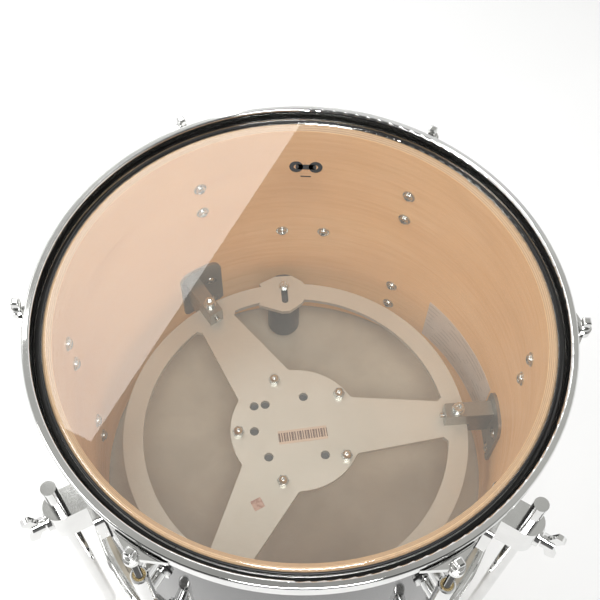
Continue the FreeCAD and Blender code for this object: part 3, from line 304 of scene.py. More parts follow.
def bump(tree, shader, height, strength, distance):
    """Feed a height to the shader's normal."""
    node = add(tree, "Bump", Strength=strength, Distance=distance)
    tree.links.new(height, node.inputs["Height"])
    tree.links.new(node.outputs["Normal"], shader.inputs["Normal"])


def mix(tree, factor, first, second, blend="MIX"):
    """Mix two colours by a factor; a colour is a tuple or a socket."""
    node = add(tree, "Mix")
    node.data_type = "RGBA"
    node.blend_type = blend
    for name, value in (("Factor", factor), ("A", first), ("B", second)):
        sockets = [s for s in node.inputs if s.name == name and s.enabled]
        if isinstance(value, tuple):
            sockets[0].default_value = (*value, 1.0)
        elif isinstance(value, (int, float)):
            sockets[0].default_value = value
        else:
            tree.links.new(value, sockets[0])
    return [s for s in node.outputs if s.enabled][0]


def metal(name, colour, smooth, dull, grain=400.0, stretch=(1, 1, 1), depth=0.0):
    """Bare or plated metal: cloudy roughness, faint colour change, optional grain."""
    material, tree, shader = new_material(name, colour, metallic=1.0)
    cloud = noise(tree, 35.0, 4.0)
    dark = tuple(0.9 * c for c in colour)
    tree.links.new(mix(tree, spread(tree, cloud, 0.0, 1.0), dark, colour), shader.inputs["Base Color"])
    fine = noise(tree, grain, 4.0, stretch)
    rough = math_node(tree, "ADD", spread(tree, cloud, 0.0, 0.35 * (dull - smooth)),
                      spread(tree, fine, smooth, smooth + 0.65 * (dull - smooth)))
    tree.links.new(rough, shader.inputs["Roughness"])
    if depth:
        bump(tree, shader, fine, 0.25, depth)
    return material


def mix_shaders(tree, share, first, second):
    """A shader that shows the first node's, with a share of the second's over it."""
    node = add(tree, "MixShader")
    tree.links.new(share, node.inputs[0])
    tree.links.new(first.outputs[0], node.inputs[1])
    tree.links.new(second.outputs[0], node.inputs[2])
    return node


print("material helpers are ready")

# %% Metals
chrome_colour = (0.80, 0.80, 0.79)
hoop_chrome = metal("hoop_chrome_plate", chrome_colour, 0.03, 0.09, 900.0)
lug_chrome = metal("lug_chrome_plate", chrome_colour, 0.05, 0.12, 700.0, depth=0.00002)
bracket_chrome = metal("bracket_chrome_plate", chrome_colour, 0.05, 0.13, 700.0, depth=0.00002)
leg_chrome = metal("leg_chrome_plate", (0.78, 0.78, 0.77), 0.05, 0.14, 500.0, (8, 8, 0.4), 0.00001)
vent_chrome = metal("vent_chrome_plate", chrome_colour, 0.05, 0.13, 700.0)
rod_steel = metal("rod_bright_steel", (0.72, 0.72, 0.71), 0.08, 0.22, 900.0, depth=0.00002)
washer_steel = metal("washer_bright_steel", (0.66, 0.66, 0.65), 0.15, 0.3, 900.0, depth=0.00002)
screw_steel = metal("screw_zinc_steel", (0.60, 0.62, 0.61), 0.16, 0.34, 800.0, depth=0.00003)
nut_brass = metal("nut_machined_brass", (0.68, 0.53, 0.28), 0.16, 0.34, 800.0, (1, 1, 6), 0.00002)
flesh_metal = metal("flesh_hoop_aluminium", (0.60, 0.60, 0.58), 0.25, 0.42, 500.0, (1, 1, 12), 0.00002)
tie_zinc = metal("tie_satin_zinc", (0.34, 0.33, 0.30), 0.28, 0.5, 600.0, depth=0.00005)
print("eleven metals, from mirror chrome to satin zinc")

# %% [markdown]
# The plate is sheet aluminium with a fine brushed face.  Brushing runs one way over the whole sheet,
# so the noise is packed across that way and long along it.  Aluminium brushed like this looks pale
# and almost white, since it scatters the soft light of the studio.

# %% Brushed plate
plate_aluminium, tree, shader = new_material("plate_brushed_aluminium", (0.80, 0.77, 0.70), 0.55, 0.42)
brushing = noise(tree, 60.0, 5.0, (1.0, 40.0, 1.0), (0, 0, math.radians(12)))
patches = noise(tree, 9.0, 3.0)
dull_patch = (0.57, 0.555, 0.50)
bright_patch = (0.66, 0.65, 0.60)
scratch = (0.50, 0.475, 0.42)
lit = mix(tree, spread(tree, patches, 0.0, 1.0), dull_patch, bright_patch)
brushed = mix(tree, spread(tree, brushing, 0.0, 0.25), lit, scratch)
tree.links.new(brushed, shader.inputs["Base Color"])
tree.links.new(spread(tree, brushing, 0.34, 0.52), shader.inputs["Roughness"])
bump(tree, shader, brushing, 0.2, 0.00003)
print("plate:", plate_aluminium.name)

# %% [markdown]
# The shell is one CAD solid with three looks.  Inside it is bare maple, whose grain lies round the
# wall.  On the bevelled bearing edges the plies show as thin rings.  Outside it has gloss black
# lacquer.  The radius of a point, worked out from Object coordinates, tells the three apart, so one
# material serves and the CAD mesh is left alone.

# %% Maple shell
SHELL_OUTER = 0.2015
SHELL_INNER = 0.194
PLY = 1.25 * MM
INNER_SKIN = 0.12 * MM
OUTER_SKIN = 0.15 * MM
maple, tree, shader = new_material("maple_ply_shell", (0.6, 0.4, 0.24), 0.0, 0.42)
place = add(tree, "SeparateXYZ")
tree.links.new(add(tree, "TexCoord").outputs["Object"], place.inputs[0])
square_x = math_node(tree, "MULTIPLY", place.outputs["X"], place.outputs["X"])
square_sum = math_node(tree, "MULTIPLY_ADD", place.outputs["Y"], place.outputs["Y"], square_x)
radius = math_node(tree, "SQRT", square_sum)
broad = noise(tree, 7.0, 3.0, (1.0, 1.0, 2.5))
grain = noise(tree, 14.0, 6.0, (1.0, 1.0, 22.0))
pores = noise(tree, 60.0, 4.0, (1.0, 1.0, 14.0))
base = ramp(tree, broad, (0.25, (0.81, 0.50, 0.225)), (0.55, (0.89, 0.57, 0.275)),
            (0.8, (0.93, 0.63, 0.325)))
grain_brown = (0.74, 0.41, 0.17)
pore_brown = (0.58, 0.31, 0.12)
base = mix(tree, spread(tree, grain, 0.0, 0.42, 0.45, 0.75), base, grain_brown)
base = mix(tree, spread(tree, pores, 0.0, 0.22, 0.55, 0.8), base, pore_brown)
ply_wave = math_node(tree, "SINE", math_node(tree, "MULTIPLY", radius, 2 * math.pi / PLY))
ply_tone = ramp(tree, spread(tree, ply_wave, 0.0, 1.0, -1.0, 1.0), (0.0, (0.36, 0.20, 0.09)),
                (0.22, (0.55, 0.36, 0.19)), (1.0, (0.63, 0.43, 0.25)))
in_wall = math_node(tree, "GREATER_THAN", radius, SHELL_INNER + INNER_SKIN)
base = mix(tree, in_wall, base, ply_tone)
outside = math_node(tree, "GREATER_THAN", radius, SHELL_OUTER - OUTER_SKIN)
lacquer = mix(tree, spread(tree, noise(tree, 3.0), 0.0, 1.0),
              (0.006, 0.006, 0.007), (0.012, 0.012, 0.013))
tree.links.new(mix(tree, outside, base, lacquer), shader.inputs["Base Color"])
wood_rough = spread(tree, grain, 0.36, 0.52)
gloss = spread(tree, noise(tree, 120.0), 0.04, 0.09)
rough = mix(tree, outside, wood_rough, gloss)
tree.links.new(rough, shader.inputs["Roughness"])
inside = math_node(tree, "SUBTRACT", 1.0, outside)
bump(tree, shader, math_node(tree, "MULTIPLY", grain, inside), 0.12, 0.0002)
print("maple inside, ply rings", PLY, "m apart on the bearing edges, lacquer outside")

# %% [markdown]
# A drum film is clear polyester.  Glass shaders would bend the light and darken the inside, so the
# film is a mix instead: most light goes straight through a Transparent shader, a little is mirrored,
# and a little is scattered as haze.  The mirror share grows at a glancing angle as (1 - cosine) to
# the fifth power, and it does so from either side of the thin film.

# %% Clear film
HEAD_ON_MIRROR = 0.043
film = bpy.data.materials.new("clear_polyester_film")
film.use_nodes = True
tree = film.node_tree
tree.nodes.clear()
clear = add(tree, "BsdfTransparent", Color=(0.97, 0.965, 0.95, 1))
mirror = add(tree, "BsdfGlossy", Color=(1, 1, 1, 1), Roughness=0.012)
haze = add(tree, "BsdfDiffuse", Color=(0.93, 0.90, 0.85, 1))
glance = add(tree, "LayerWeight", Blend=0.5).outputs["Facing"]
glancing = math_node(tree, "POWER", glance, 5.0)
mirror_share = math_node(tree, "MULTIPLY_ADD", glancing, 0.95, HEAD_ON_MIRROR)
haze_share = spread(tree, noise(tree, 16.0, 4.0), 0.030, 0.040)
surface = mix_shaders(tree, mirror_share, clear, mirror)
hazy = mix_shaders(tree, haze_share, surface, haze)
tree.links.new(hazy.outputs[0], add(tree, "OutputMaterial").inputs["Surface"])
print("film: mirror share", HEAD_ON_MIRROR, "head on, on each face")

# %% [markdown]
# The lower head is coated, so it is cloudy and satin where the upper one is clear.  It scatters most
# of the light that reaches it, and only a little goes straight through.

# %% Coated film
coated = bpy.data.materials.new("coated_polyester_film")
coated.use_nodes = True
tree = coated.node_tree
shader = tree.nodes["Principled BSDF"]
shader.inputs["Roughness"].default_value = 0.5
cloud = noise(tree, 24.0, 5.0)
tone = mix(tree, spread(tree, cloud, 0.0, 1.0), (0.47, 0.42, 0.335), (0.54, 0.485, 0.395))
tree.links.new(tone, shader.inputs["Base Color"])
bump(tree, shader, noise(tree, 1500.0, 3.0), 0.3, 0.00004)
passing = add(tree, "BsdfTransparent", Color=(0.95, 0.93, 0.88, 1))
scattered_share = spread(tree, cloud, 0.86, 0.92)
cloudy = mix_shaders(tree, scattered_share, passing, shader)
tree.links.new(cloudy.outputs[0], tree.nodes["Material Output"].inputs["Surface"])
print("lower film: about a tenth of the light goes straight through each face")

# %% [markdown]
# Rubber feet, gaskets, the black canister and the slate housing are dull and dark.  What makes them
# look real is a fine moulded texture and slightly lighter worn patches.


# %% Dark finishes
def dark_finish(name, colour, worn, smooth, dull, texture, depth):
    """A moulded or painted dark surface with worn patches."""
    material, tree, shader = new_material(name, colour)
    patches = noise(tree, 45.0, 5.0)
    worn_share = spread(tree, patches, 0.0, 1.0, 0.45, 0.75)
    tree.links.new(mix(tree, worn_share, colour, worn), shader.inputs["Base Color"])
    tree.links.new(spread(tree, patches, smooth, dull), shader.inputs["Roughness"])
    bump(tree, shader, noise(tree, texture, 3.0), 0.3, depth)
    return material


foot_rubber = dark_finish("foot_black_rubber", (0.018, 0.018, 0.018), (0.045, 0.044, 0.042),
                          smooth=0.6, dull=0.85, texture=1400.0, depth=0.0001)
gasket_rubber = dark_finish("gasket_black_rubber", (0.015, 0.015, 0.015), (0.03, 0.03, 0.03),
                            smooth=0.55, dull=0.8, texture=1400.0, depth=0.00006)
# Painted shade: a near-black finish for the bands that paint the dark ring of shade round each head.
painted_shade_black = dark_finish("painted_shade_satin_black", (0.003, 0.003, 0.003), (0.006, 0.006, 0.006),
                          smooth=0.30, dull=0.42, texture=900.0, depth=0.00001)
housing_black = dark_finish("housing_slate_paint", (0.045, 0.05, 0.055), (0.09, 0.095, 0.10),
                            smooth=0.35, dull=0.55, texture=1800.0, depth=0.00004)
canister_black = dark_finish("canister_black_plastic", (0.02, 0.022, 0.024), (0.04, 0.042, 0.045),
                             smooth=0.3, dull=0.5, texture=2200.0, depth=0.00004)
print("five dark finishes")

# %% Dress the CAD nodes
finishes = {
    "maple_shell": maple, "head_film": film, "coated_film": coated, "flesh_metal": flesh_metal,
    "hoop_chrome": hoop_chrome, "rod_steel": rod_steel, "washer_steel": washer_steel,
    "lug_chrome": lug_chrome, "nut_brass": nut_brass, "screw_steel": screw_steel,
    "gasket_rubber": gasket_rubber, "bracket_chrome": bracket_chrome, "leg_chrome": leg_chrome,
    "foot_rubber": foot_rubber, "plate_aluminium": plate_aluminium, "tie_zinc": tie_zinc,
    "housing_black": housing_black, "canister_black": canister_black, "vent_chrome": vent_chrome,
}
for subpart in frame["record"]["subparts"]:
    slots = frame["nodes"][subpart["node"]].material_slots
    slots[0].material = finishes[subpart["material_slot"]]

# %% Studio floor paint
paper, tree, shader = new_material("floor_paper", (0.93, 0.93, 0.93), 0.0, 0.9)
tone = mix(tree, spread(tree, noise(tree, 2.0), 0.0, 1.0), (0.92, 0.92, 0.92), (0.95, 0.95, 0.95))
tree.links.new(tone, shader.inputs["Base Color"])
floor.data.materials.append(paper)
print("floor painted:", paper.name)

# %% [markdown]
# Round parts are turned on a lathe, and so are these.  One point is pulled out into a profile by
# extruding it step by step, and the profile is spun round the Z axis.  After the spin its doubled
# points are merged and its faces are made to point outwards.


# %% The lathe
def drawn_line(name, points):
    """A line through (radius, height) points in metres; the piece is left in edit mode."""
    bpy.ops.object.select_all(action="DESELECT")
    bpy.ops.mesh.primitive_plane_add(size=MM)
    piece = bpy.context.object
    piece.name = name
    bpy.ops.object.mode_set(mode="EDIT")
    bpy.ops.mesh.select_mode(type="VERT")
    bpy.ops.mesh.select_all(action="SELECT")
    bpy.ops.mesh.merge(type="CENTER")
    bpy.ops.transform.translate(value=(points[0][0], 0, points[0][1]))
    for start, end in zip(points, points[1:]):
        step = (end[0] - start[0], 0, end[1] - start[1])
        bpy.ops.mesh.extrude_region_move(TRANSFORM_OT_translate={"value": step})
    return piece


def lathe(name, profile, steps=64):
    """Turn a closed profile of (radius, height) in metres about the Z axis."""
    piece = drawn_line(name, profile)
    bpy.ops.mesh.select_all(action="SELECT")
    bpy.ops.mesh.spin(steps=steps, angle=2 * math.pi, center=(0, 0, 0), axis=(0, 0, 1))
    bpy.ops.mesh.select_all(action="SELECT")
    bpy.ops.mesh.remove_doubles(threshold=0.002 * MM)
    bpy.ops.mesh.normals_make_consistent(inside=False)
    bpy.ops.object.mode_set(mode="OBJECT")
    return piece


print("the lathe is ready")


# %% Smoothing, cutting, boxes and bevels
def smooth(piece, angle=35):
    """Shade the piece smooth, except where its faces meet at more than the angle."""
    only(piece)
    bpy.ops.object.shade_smooth_by_angle(angle=math.radians(angle))
    return piece


def cut_out(piece, tool):
    """Cut one solid out of another, and remove the tool."""
    only(piece)
    boolean = piece.modifiers.new("cut", "BOOLEAN")
    boolean.operation = "DIFFERENCE"
    boolean.solver = "EXACT"
    boolean.object = tool
    bpy.ops.object.modifier_apply(modifier=boolean.name)
    bpy.data.objects.remove(tool, do_unlink=True)
    bpy.ops.object.mode_set(mode="EDIT")
    bpy.ops.mesh.select_all(action="SELECT")
    bpy.ops.mesh.remove_doubles(threshold=0.004 * MM)
    bpy.ops.mesh.select_all(action="SELECT")
    bpy.ops.mesh.dissolve_degenerate(threshold=0.004 * MM)
    bpy.ops.object.mode_set(mode="OBJECT")
    return piece


def box_piece(name, size, centre):
    """A cube primitive of a given size at a given centre, in metres."""
    bpy.ops.object.select_all(action="DESELECT")
    bpy.ops.mesh.primitive_cube_add(size=1.0, location=centre, scale=size)
    piece = bpy.context.object
    piece.name = name
    return settle(piece)


def bevel(piece, width, segments=2, angle=30):
    """Round the piece's edges."""
    modifier = piece.modifiers.new("bevel", "BEVEL")
    modifier.width = width
    modifier.segments = segments
    modifier.limit_method = "ANGLE"
    modifier.angle_limit = math.radians(angle)
    return apply_modifiers(piece)


def choose_faces(piece, wanted):
    """Enter edit mode with only the faces selected for which wanted(face) is true."""
    bpy.ops.object.mode_set(mode="EDIT")
    bpy.ops.mesh.select_mode(type="FACE")
    bpy.ops.mesh.select_all(action="DESELECT")
    bpy.ops.object.mode_set(mode="OBJECT")
    for face in piece.data.polygons:
        face.select = wanted(face)
    bpy.ops.object.mode_set(mode="EDIT")


print("cutter, boxes and bevel are ready")

# %% [markdown]
# A tension rod is a long screw with a square key head on a round collar.  The CAD rod has a plain
# shank, so this one gets a real thread: a tooth profile wound up the rod by a Screw modifier.  The
# key has softened edges, because cast and plated heads are never sharp.

# %% The thread of a tension rod
ROD_CIRCLE = 0.2225
ROD_RADIUS = 2.75 * MM
PITCH = 1.06 * MM
TOOTH_DEPTH = 0.55 * MM
COLLAR_RADIUS = 5.0 * MM
KEY_SIDE = 6.4 * MM
KEY_TALL = 7.2 * MM
key_low = 0.2 * MM
collar_low = -2.0 * MM
thread_top = -16 * MM
thread_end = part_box("batter_rod_1")[0].z
turns = int((thread_top - thread_end) / PITCH)

root = ROD_RADIUS - TOOTH_DEPTH
thread = drawn_line("thread", [(root, 0), (ROD_RADIUS, PITCH / 2), (root, PITCH)])
bpy.ops.object.mode_set(mode="OBJECT")
winding = thread.modifiers.new("winding", "SCREW")
winding.axis = "Z"
winding.screw_offset = PITCH
winding.iterations = turns - 1
winding.steps = winding.render_steps = 12
winding.use_merge_vertices = True
apply_modifiers(thread)
bpy.ops.object.mode_set(mode="EDIT")
bpy.ops.mesh.select_all(action="SELECT")
bpy.ops.mesh.remove_doubles(threshold=0.002 * MM)
for height, above in ((PITCH, False), (turns * PITCH - 1.5 * PITCH, True)):
    bpy.ops.mesh.select_all(action="SELECT")
    bpy.ops.mesh.bisect(plane_co=(0, 0, height), plane_no=(0, 0, 1), use_fill=True,
                        clear_inner=not above, clear_outer=above)
bpy.ops.mesh.select_all(action="SELECT")
bpy.ops.mesh.normals_make_consistent(inside=False)
bpy.ops.object.mode_set(mode="OBJECT")
thread.location = (0, 0, thread_end - 0.6 * PITCH)
settle(thread)
print("one thread:", turns - 1, "turns wound, then both ends cut level")

# %% One tension rod at the first station
core_radius = ROD_RADIUS - 0.6 * MM
core = lathe("core", [
    (0, thread_end), (1.5 * MM, thread_end), (core_radius, thread_end + 1.2 * MM),
    (core_radius, thread_top - MM), (ROD_RADIUS, thread_top - 0.4 * MM),
    (ROD_RADIUS, collar_low - 0.3 * MM), (ROD_RADIUS + 0.3 * MM, collar_low),
    (4.6 * MM, collar_low), (COLLAR_RADIUS, collar_low + 0.4 * MM), (COLLAR_RADIUS, key_low - 0.7 * MM),
    (4.7 * MM, key_low - 0.2 * MM), (4.0 * MM, key_low), (0, key_low),
], 32)
key = box_piece("key", (KEY_SIDE, KEY_SIDE, KEY_TALL), (0, 0, 3.7 * MM))
choose_faces(key, lambda face: face.normal.z > 0.9)
bpy.ops.mesh.inset(thickness=1.3 * MM)
bpy.ops.transform.translate(value=(0, 0, 0.7 * MM))
bpy.ops.object.mode_set(mode="OBJECT")
bevel(key, 0.45 * MM, 3, 12)
rod = join([core, thread, key], "tension_rod")
smooth(rod, 40)
rod.location = (ROD_CIRCLE, 0, 0)
settle(rod)
print("one rod:", len(rod.data.polygons), "faces, tip at", round(thread_end, 4))

# %% Twelve rods, each on its own body
MIDDLE = (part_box("shell")[0].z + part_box("shell")[1].z) / 2
upside_down = Matrix.Translation((0, 0, 2 * MIDDLE)) @ Matrix.Rotation(math.pi, 4, "X")
for station in STATIONS:
    turn = Matrix.Rotation(math.radians(60 * (station - 1)), 4, "Z")
    for side, place in (("batter", turn), ("resonant", turn @ upside_down)):
        name = "%s_rod_%d" % (side, station)
        twin = copy_at(rod, place)
        twin.name = "threaded_" + name
        twin.data.materials.append(rod_steel)
        mount(twin, name, "rod_steel", name)
bpy.data.objects.remove(rod, do_unlink=True)

# %% [markdown]
# The screws inside the shell have domed heads with a cross recess, on wide flat washers.  They show
# through the clear head, so the recess is cut for real, as a cross of two straight slots.  One screw is
# modelled with its head along +Z, and copies are laid on the wall.

# %% One washer-head screw
washer_top = 1.2 * MM
screw = lathe("cross_screw", [
    (0, -0.5 * MM), (5.9 * MM, -0.5 * MM), (6.2 * MM, -0.1 * MM), (6.2 * MM, washer_top - 0.25 * MM),
    (5.9 * MM, washer_top), (4.8 * MM, washer_top), (4.85 * MM, washer_top + 0.5 * MM),
    (4.6 * MM, washer_top + 1.3 * MM), (3.9 * MM, washer_top + 2.2 * MM),
    (2.8 * MM, washer_top + 2.8 * MM), (1.5 * MM, washer_top + 3.1 * MM), (0, washer_top + 3.2 * MM),
], 32)
recess_top = washer_top + 3.6 * MM
across = box_piece("slot_a", (5.0 * MM, 1.0 * MM, 3.2 * MM), (0, 0, recess_top - 1.6 * MM))
along = box_piece("slot_b", (1.03 * MM, 5.0 * MM, 3.0 * MM), (0, 0, recess_top - 1.5 * MM))
for slot_box in (across, along):
    cut_out(screw, slot_box)
smooth(screw, 30)
print("one screw:", len(screw.data.polygons), "faces")


def on_wall(radius, turn, height, spin=0.0):
    """The place of a piece whose +Z points inwards from the wall at a turn and a height."""
    return (Matrix.Rotation(turn, 4, "Z") @ Matrix.Translation((radius, 0, height))
            @ Matrix.Rotation(-math.pi / 2, 4, "Y") @ Matrix.Rotation(spin, 4, "Z"))


# %% Twenty-four lug screws and six bracket screws
WALL = 0.1939
LUG_DROP = 76.2 * MM
PITCH_OF_SCREWS = 35.4 * MM
BRACKET_HALF_GAP = 22 * MM
SPIN_STEP = 37
BRACKET_SPIN = 0.6
lug_screws = []
for station in STATIONS:
    for row in (-LUG_DROP, 2 * MIDDLE + LUG_DROP):
        for offset in (-PITCH_OF_SCREWS / 2, PITCH_OF_SCREWS / 2):
            spin = math.radians(SPIN_STEP * len(lug_screws))
            turn = math.radians(60 * (station - 1))
            lug_screws.append(copy_at(screw, on_wall(WALL, turn, row + offset, spin)))
lug_screws = join(lug_screws, "cross_lug_screws")
lug_screws.data.materials.append(screw_steel)
mount(lug_screws, "drum", "screw_steel", "lug_screws")

half_spread = math.asin(BRACKET_HALF_GAP / SHELL_OUTER)
bracket_screws = []
for leg in LEGS:
    for side in (-1, 1):
        turn = math.radians(90 + 120 * (leg - 1)) + side * half_spread
        bracket_screws.append(copy_at(screw, on_wall(WALL, turn, MIDDLE, BRACKET_SPIN * side + leg)))
bracket_screws = join(bracket_screws, "cross_bracket_screws")
bracket_screws.data.materials.append(screw_steel)
mount(bracket_screws, "drum", "screw_steel", "bracket_screws")
bpy.data.objects.remove(screw, do_unlink=True)

# %% [markdown]
# Painted shade: a thin black band covers the lower part of each hoop's stepped inner face, and another
# runs round the film's edge beside it.  They paint in black the shade in the gap between the film and
# the hoop, and from above they are the dark ring round the head.  Both are thin turned bands: the step
# band follows the rounded step, and the edge band has a low crown and a skirt.

# %% Painted shade bands on the hoop steps and round the film edges
HOOP_INNER = 0.2084
STEP_ROUND = 5.2 * MM
STEP_SHADE_ROUND = 5.05 * MM
STEP_SHADE_INNER = 0.20295
STEP_SHADE_OUTER = 0.20320
step_low = -6.5 * MM
step_shade_foot = step_low - 1.6 * MM
step_shade_back = step_low - 0.1 * MM
step_shade_profile = []
for tilt in range(42, 91, 8):
    step_shade_profile.append((
        HOOP_INNER - STEP_ROUND + STEP_SHADE_ROUND * math.cos(math.radians(tilt)),
        step_low + STEP_ROUND - STEP_SHADE_ROUND * math.sin(math.radians(tilt)),
    ))
step_shade_profile += [
    (STEP_SHADE_INNER, step_low + 0.12 * MM), (STEP_SHADE_INNER, step_shade_foot),
    (STEP_SHADE_OUTER, step_shade_foot), (STEP_SHADE_OUTER, step_shade_back),
    (step_shade_profile[0][0] + 0.4 * MM, step_shade_back), step_shade_profile[0],
]
step_shade = smooth(lathe("hoop_step_painted_shade", step_shade_profile, 180), 30)

EDGE_SHADE_INNER = 0.20110
EDGE_SHADE_OUTER = 0.20285
SKIRT_INNER = 0.20225
skirt_foot = -1.8 * MM
edge_shade = smooth(lathe("film_edge_painted_shade", [
    (EDGE_SHADE_INNER, 0.05 * MM), (0.20135, 0.3 * MM), (0.20195, 0.4 * MM), (0.20255, 0.25 * MM),
    (EDGE_SHADE_OUTER, -0.3 * MM), (EDGE_SHADE_OUTER, skirt_foot), (SKIRT_INNER, skirt_foot),
    (SKIRT_INNER, -0.1 * MM), (EDGE_SHADE_INNER, 0.05 * MM),
], 180), 50)
for piece in (step_shade, edge_shade):
    for side, place in (("batter", Matrix.Identity(4)), ("resonant", upside_down)):
        twin = copy_at(piece, place)
        twin.name = side + "_" + piece.name
        # Painted shade: these bands are near black to paint the shade in the gap between film and hoop.
        twin.data.materials.append(painted_shade_black)
        mount(twin, "drum", "gasket_rubber")
    bpy.data.objects.remove(piece, do_unlink=True)

# %% [markdown]
# Each rubber foot has grip rings and a rolled lip where the leg goes in.  It stands on the slanted
# end of the leg, and its sole is worn flat on the floor, so it is turned upright, tilted, and then
# cut level by a bisect.

# %% Ribbed rubber feet
SLANT = math.radians(14)
FOOT_CIRCLE = 0.26154
RIBS = 6
RIB_RISE = 5.2
RIB_TAPER = 0.34
sole = Vector((0, FOOT_CIRCLE, floor_z))
foot_profile = [(0, -5 * MM), (9.5 * MM, -5 * MM), (11.4 * MM, -3.6 * MM), (12 * MM, -1.5 * MM)]
for rib in range(RIBS):
    base = (4.0 + RIB_RISE * rib) * MM
    width = (12.0 - RIB_TAPER * rib) * MM
    groove = width - 0.9 * MM
    foot_profile += [(width, base - 1.6 * MM), (groove, base - 0.9 * MM),
                     (groove, base + 0.5 * MM), (width - 0.1 * MM, base + 1.3 * MM)]
foot_profile += [
    (9.9 * MM, 36 * MM), (9.5 * MM, 42 * MM), (9.8 * MM, 43.6 * MM), (9.2 * MM, 45.4 * MM),
    (7.6 * MM, 46 * MM), (6.5 * MM, 45.2 * MM), (6.2 * MM, 42 * MM), (0, 42 * MM),
]
foot = lathe("rubber_foot", foot_profile, 48)
foot.matrix_world = Matrix.Translation(sole) @ Matrix.Rotation(SLANT, 4, "X")
settle(foot)
bpy.ops.object.mode_set(mode="EDIT")
bpy.ops.mesh.select_all(action="SELECT")
bpy.ops.mesh.bisect(plane_co=(0, 0, floor_z), plane_no=(0, 0, 1), use_fill=True, clear_inner=True)
bpy.ops.object.mode_set(mode="OBJECT")
smooth(foot, 40)
for leg in LEGS:
    twin = copy_at(foot, Matrix.Rotation(math.radians(120 * (leg - 1)), 4, "Z"))
    twin.name = "ribbed_foot_%d" % leg
    twin.data.materials.append(foot_rubber)
    mount(twin, "leg_%d" % leg, "foot_rubber", "leg_foot_%d" % leg)
bpy.data.objects.remove(foot, do_unlink=True)

# %% [markdown]
# Inside the shell a paper label is glued to the wall.  The plate has a small label with bars on its
# hub, and a square sticker.  They carry only plain rules, bars and a faint mottle, which read Object
# coordinates.  The wall label is a strip of a cylinder, given the thickness of paper.


# %% Label papers
def printed(name, ground, ink, pattern, roughness=0.6):
    """A paper whose ink shows where the pattern function's socket is 1."""
    material, tree, shader = new_material(name, ground, 0.0, roughness)
    darker = tuple(0.88 * c for c in ground)
    worn = mix(tree, spread(tree, noise(tree, 90.0, 4.0), 0.0, 0.5), ground, darker)
    tree.links.new(mix(tree, pattern(tree), worn, ink), shader.inputs["Base Color"])
    bump(tree, shader, noise(tree, 900.0, 2.0), 0.15, 0.00003)
    return material


def axis_of(tree, turn=0.0, letter="X"):
    """Object coordinates turned about Z, one letter of them."""
    mapping = add(tree, "Mapping")
    mapping.inputs["Rotation"].default_value = (0, 0, turn)
    tree.links.new(add(tree, "TexCoord").outputs["Object"], mapping.inputs["Vector"])
    split = add(tree, "SeparateXYZ")
    tree.links.new(mapping.outputs["Vector"], split.inputs[0])
    return split.outputs[letter]


def stripes(tree, along, gap, share):
    """1 on stripes that come once in every gap and cover a share of it."""
    phase = math_node(tree, "FRACT", math_node(tree, "MULTIPLY", along, 1 / gap))
    return math_node(tree, "LESS_THAN", phase, share)


def rules(tree):
    """Faint level lines, like the lines of a form."""
    line = stripes(tree, axis_of(tree, 0.0, "Z"), 7 * MM, 0.2)
    broken = math_node(tree, "GREATER_THAN", noise(tree, 60.0, 1.0), 0.5)
    return math_node(tree, "MULTIPLY", math_node(tree, "MULTIPLY", line, broken), 0.55)


BAR_TURN = math.radians(10)


def bars(tree):
    """Upright bars of uneven width along the label, held between its margins."""
    along = axis_of(tree, -BAR_TURN, "X")
    beside = axis_of(tree, -BAR_TURN, "Y")
    wide = stripes(tree, along, 2.6 * MM, 0.42)
    narrow = stripes(tree, along, 1.9 * MM, 0.25)
    ink = math_node(tree, "MAXIMUM", wide, narrow)
    tall = math_node(tree, "COMPARE", beside, -7.5 * MM, 4.6 * MM)
    return math_node(tree, "MULTIPLY", ink, tall)


wall_paper = printed("wall_label_paper", (0.66, 0.58, 0.52), (0.30, 0.26, 0.23), rules)
bar_paper = printed("hub_label_paper", (0.58, 0.47, 0.38), (0.10, 0.06, 0.05), bars)
pink_paper = printed("square_sticker_paper", (0.52, 0.36, 0.30), (0.34, 0.20, 0.17),
                     lambda tree: spread(tree, noise(tree, 300.0, 2.0), 0.0, 1.0, 0.45, 0.6))
print("three label papers")

# %% Wall label
PAPER_CIRCLE = 0.19375
label_top = -0.197
label_tall = 0.065
label_turns = (math.radians(12.3), math.radians(45.8))


def beside_label(face):
    """True for a face that lies outside the label's stretch of the wall."""
    at = math.atan2(face.center.y, face.center.x)
    return not label_turns[0] < at < label_turns[1]


bpy.ops.object.select_all(action="DESELECT")
bpy.ops.mesh.primitive_cylinder_add(
    vertices=360, radius=PAPER_CIRCLE, depth=label_tall, end_fill_type="NOTHING",
    location=(0, 0, label_top - label_tall / 2),
)
wall_label = settle(bpy.context.object)
wall_label.name = "wall_label"
choose_faces(wall_label, beside_label)
bpy.ops.mesh.delete(type="FACE")
bpy.ops.mesh.select_all(action="SELECT")
bpy.ops.mesh.subdivide(number_cuts=2)
bpy.ops.object.mode_set(mode="OBJECT")
thickness = wall_label.modifiers.new("paper", "SOLIDIFY")
thickness.thickness = 0.25 * MM
thickness.offset = 0
apply_modifiers(wall_label)
smooth(wall_label, 40)
wall_label.data.materials.append(wall_paper)
mount(wall_label, "drum", "maple_shell")


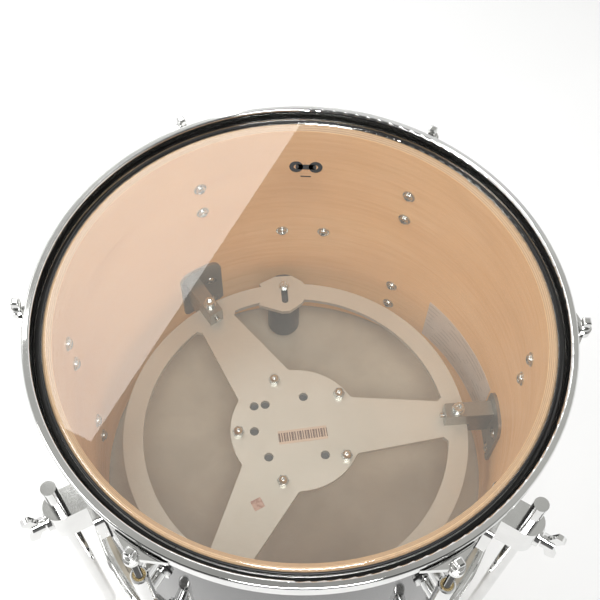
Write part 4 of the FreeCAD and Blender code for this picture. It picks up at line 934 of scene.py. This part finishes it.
# %% Flat labels on the plate
def flat_label(name, size, centre, turn, paper, thick=0.2 * MM, corner=0.6 * MM):
    """A thin sheet with cut corners that lies level, its underside at the centre's height."""
    piece = box_piece(name, (size[0], size[1], thick), (0, 0, thick / 2))
    only(piece)
    bpy.ops.object.mode_set(mode="EDIT")
    bpy.ops.mesh.select_mode(type="EDGE")
    bpy.ops.mesh.select_all(action="DESELECT")
    bpy.ops.object.mode_set(mode="OBJECT")
    points = piece.data.vertices
    for edge in piece.data.edges:
        low, high = (points[i].co for i in edge.vertices)
        edge.select = abs(low.z - high.z) > thick / 2
    bpy.ops.object.mode_set(mode="EDIT")
    bpy.ops.mesh.bevel(offset=corner, segments=4)
    bpy.ops.object.mode_set(mode="OBJECT")
    piece.matrix_world = Matrix.Translation(centre) @ Matrix.Rotation(turn, 4, "Z")
    settle(piece)
    piece.data.materials.append(paper)
    return piece


plate_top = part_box("spider_plate")[1].z
hub_label = flat_label("hub_bar_label", (0.048, 0.014), (0.0065, -0.0065, plate_top), BAR_TURN, bar_paper)
mount(hub_label, "drum", "plate_aluminium")
sticker_turn = math.radians(30)
sticker = flat_label("square_sticker", (0.0105, 0.0105), (-0.034, -0.078, plate_top),
                     sticker_turn, pink_paper)
mount(sticker, "drum", "plate_aluminium")

# %% [markdown]
# The upper head carries a plain printed mark: a bar between two rings, with a short line below.  The
# ink lies on the film as a very thin layer.

# %% The printed mark
INK_THICK = 0.06 * MM
RING_HOLE = 2.2 * MM
RING_RADIUS = 6.0 * MM
RING_OFFSET = 8.4 * MM
mark_y = 0.1498
line_y = 0.1395
ink, tree, shader = new_material("printed_black_ink", (0.004, 0.004, 0.004), 0.0, 0.6)
tree.links.new(spread(tree, noise(tree, 500.0), 0.35, 0.55), shader.inputs["Roughness"])
mark_parts = [
    flat_label("mark_bar", (0.018, 0.0054), (0, mark_y, 0), 0, ink, INK_THICK, 2.0 * MM),
    flat_label("mark_line", (0.009, 0.0012), (0, line_y, 0), 0, ink, INK_THICK, 0.5 * MM),
]
for side in (-1, 1):
    ring = smooth(lathe("mark_ring", [
        (RING_HOLE, 0), (RING_RADIUS, 0), (RING_RADIUS, INK_THICK), (RING_HOLE, INK_THICK),
        (RING_HOLE, 0),
    ], 40))
    ring.location = (side * RING_OFFSET, mark_y, 0)
    ring.data.materials.append(ink)
    mark_parts.append(settle(ring))
mark = join(mark_parts, "printed_mark")
mount(mark, "drum", "head_film")
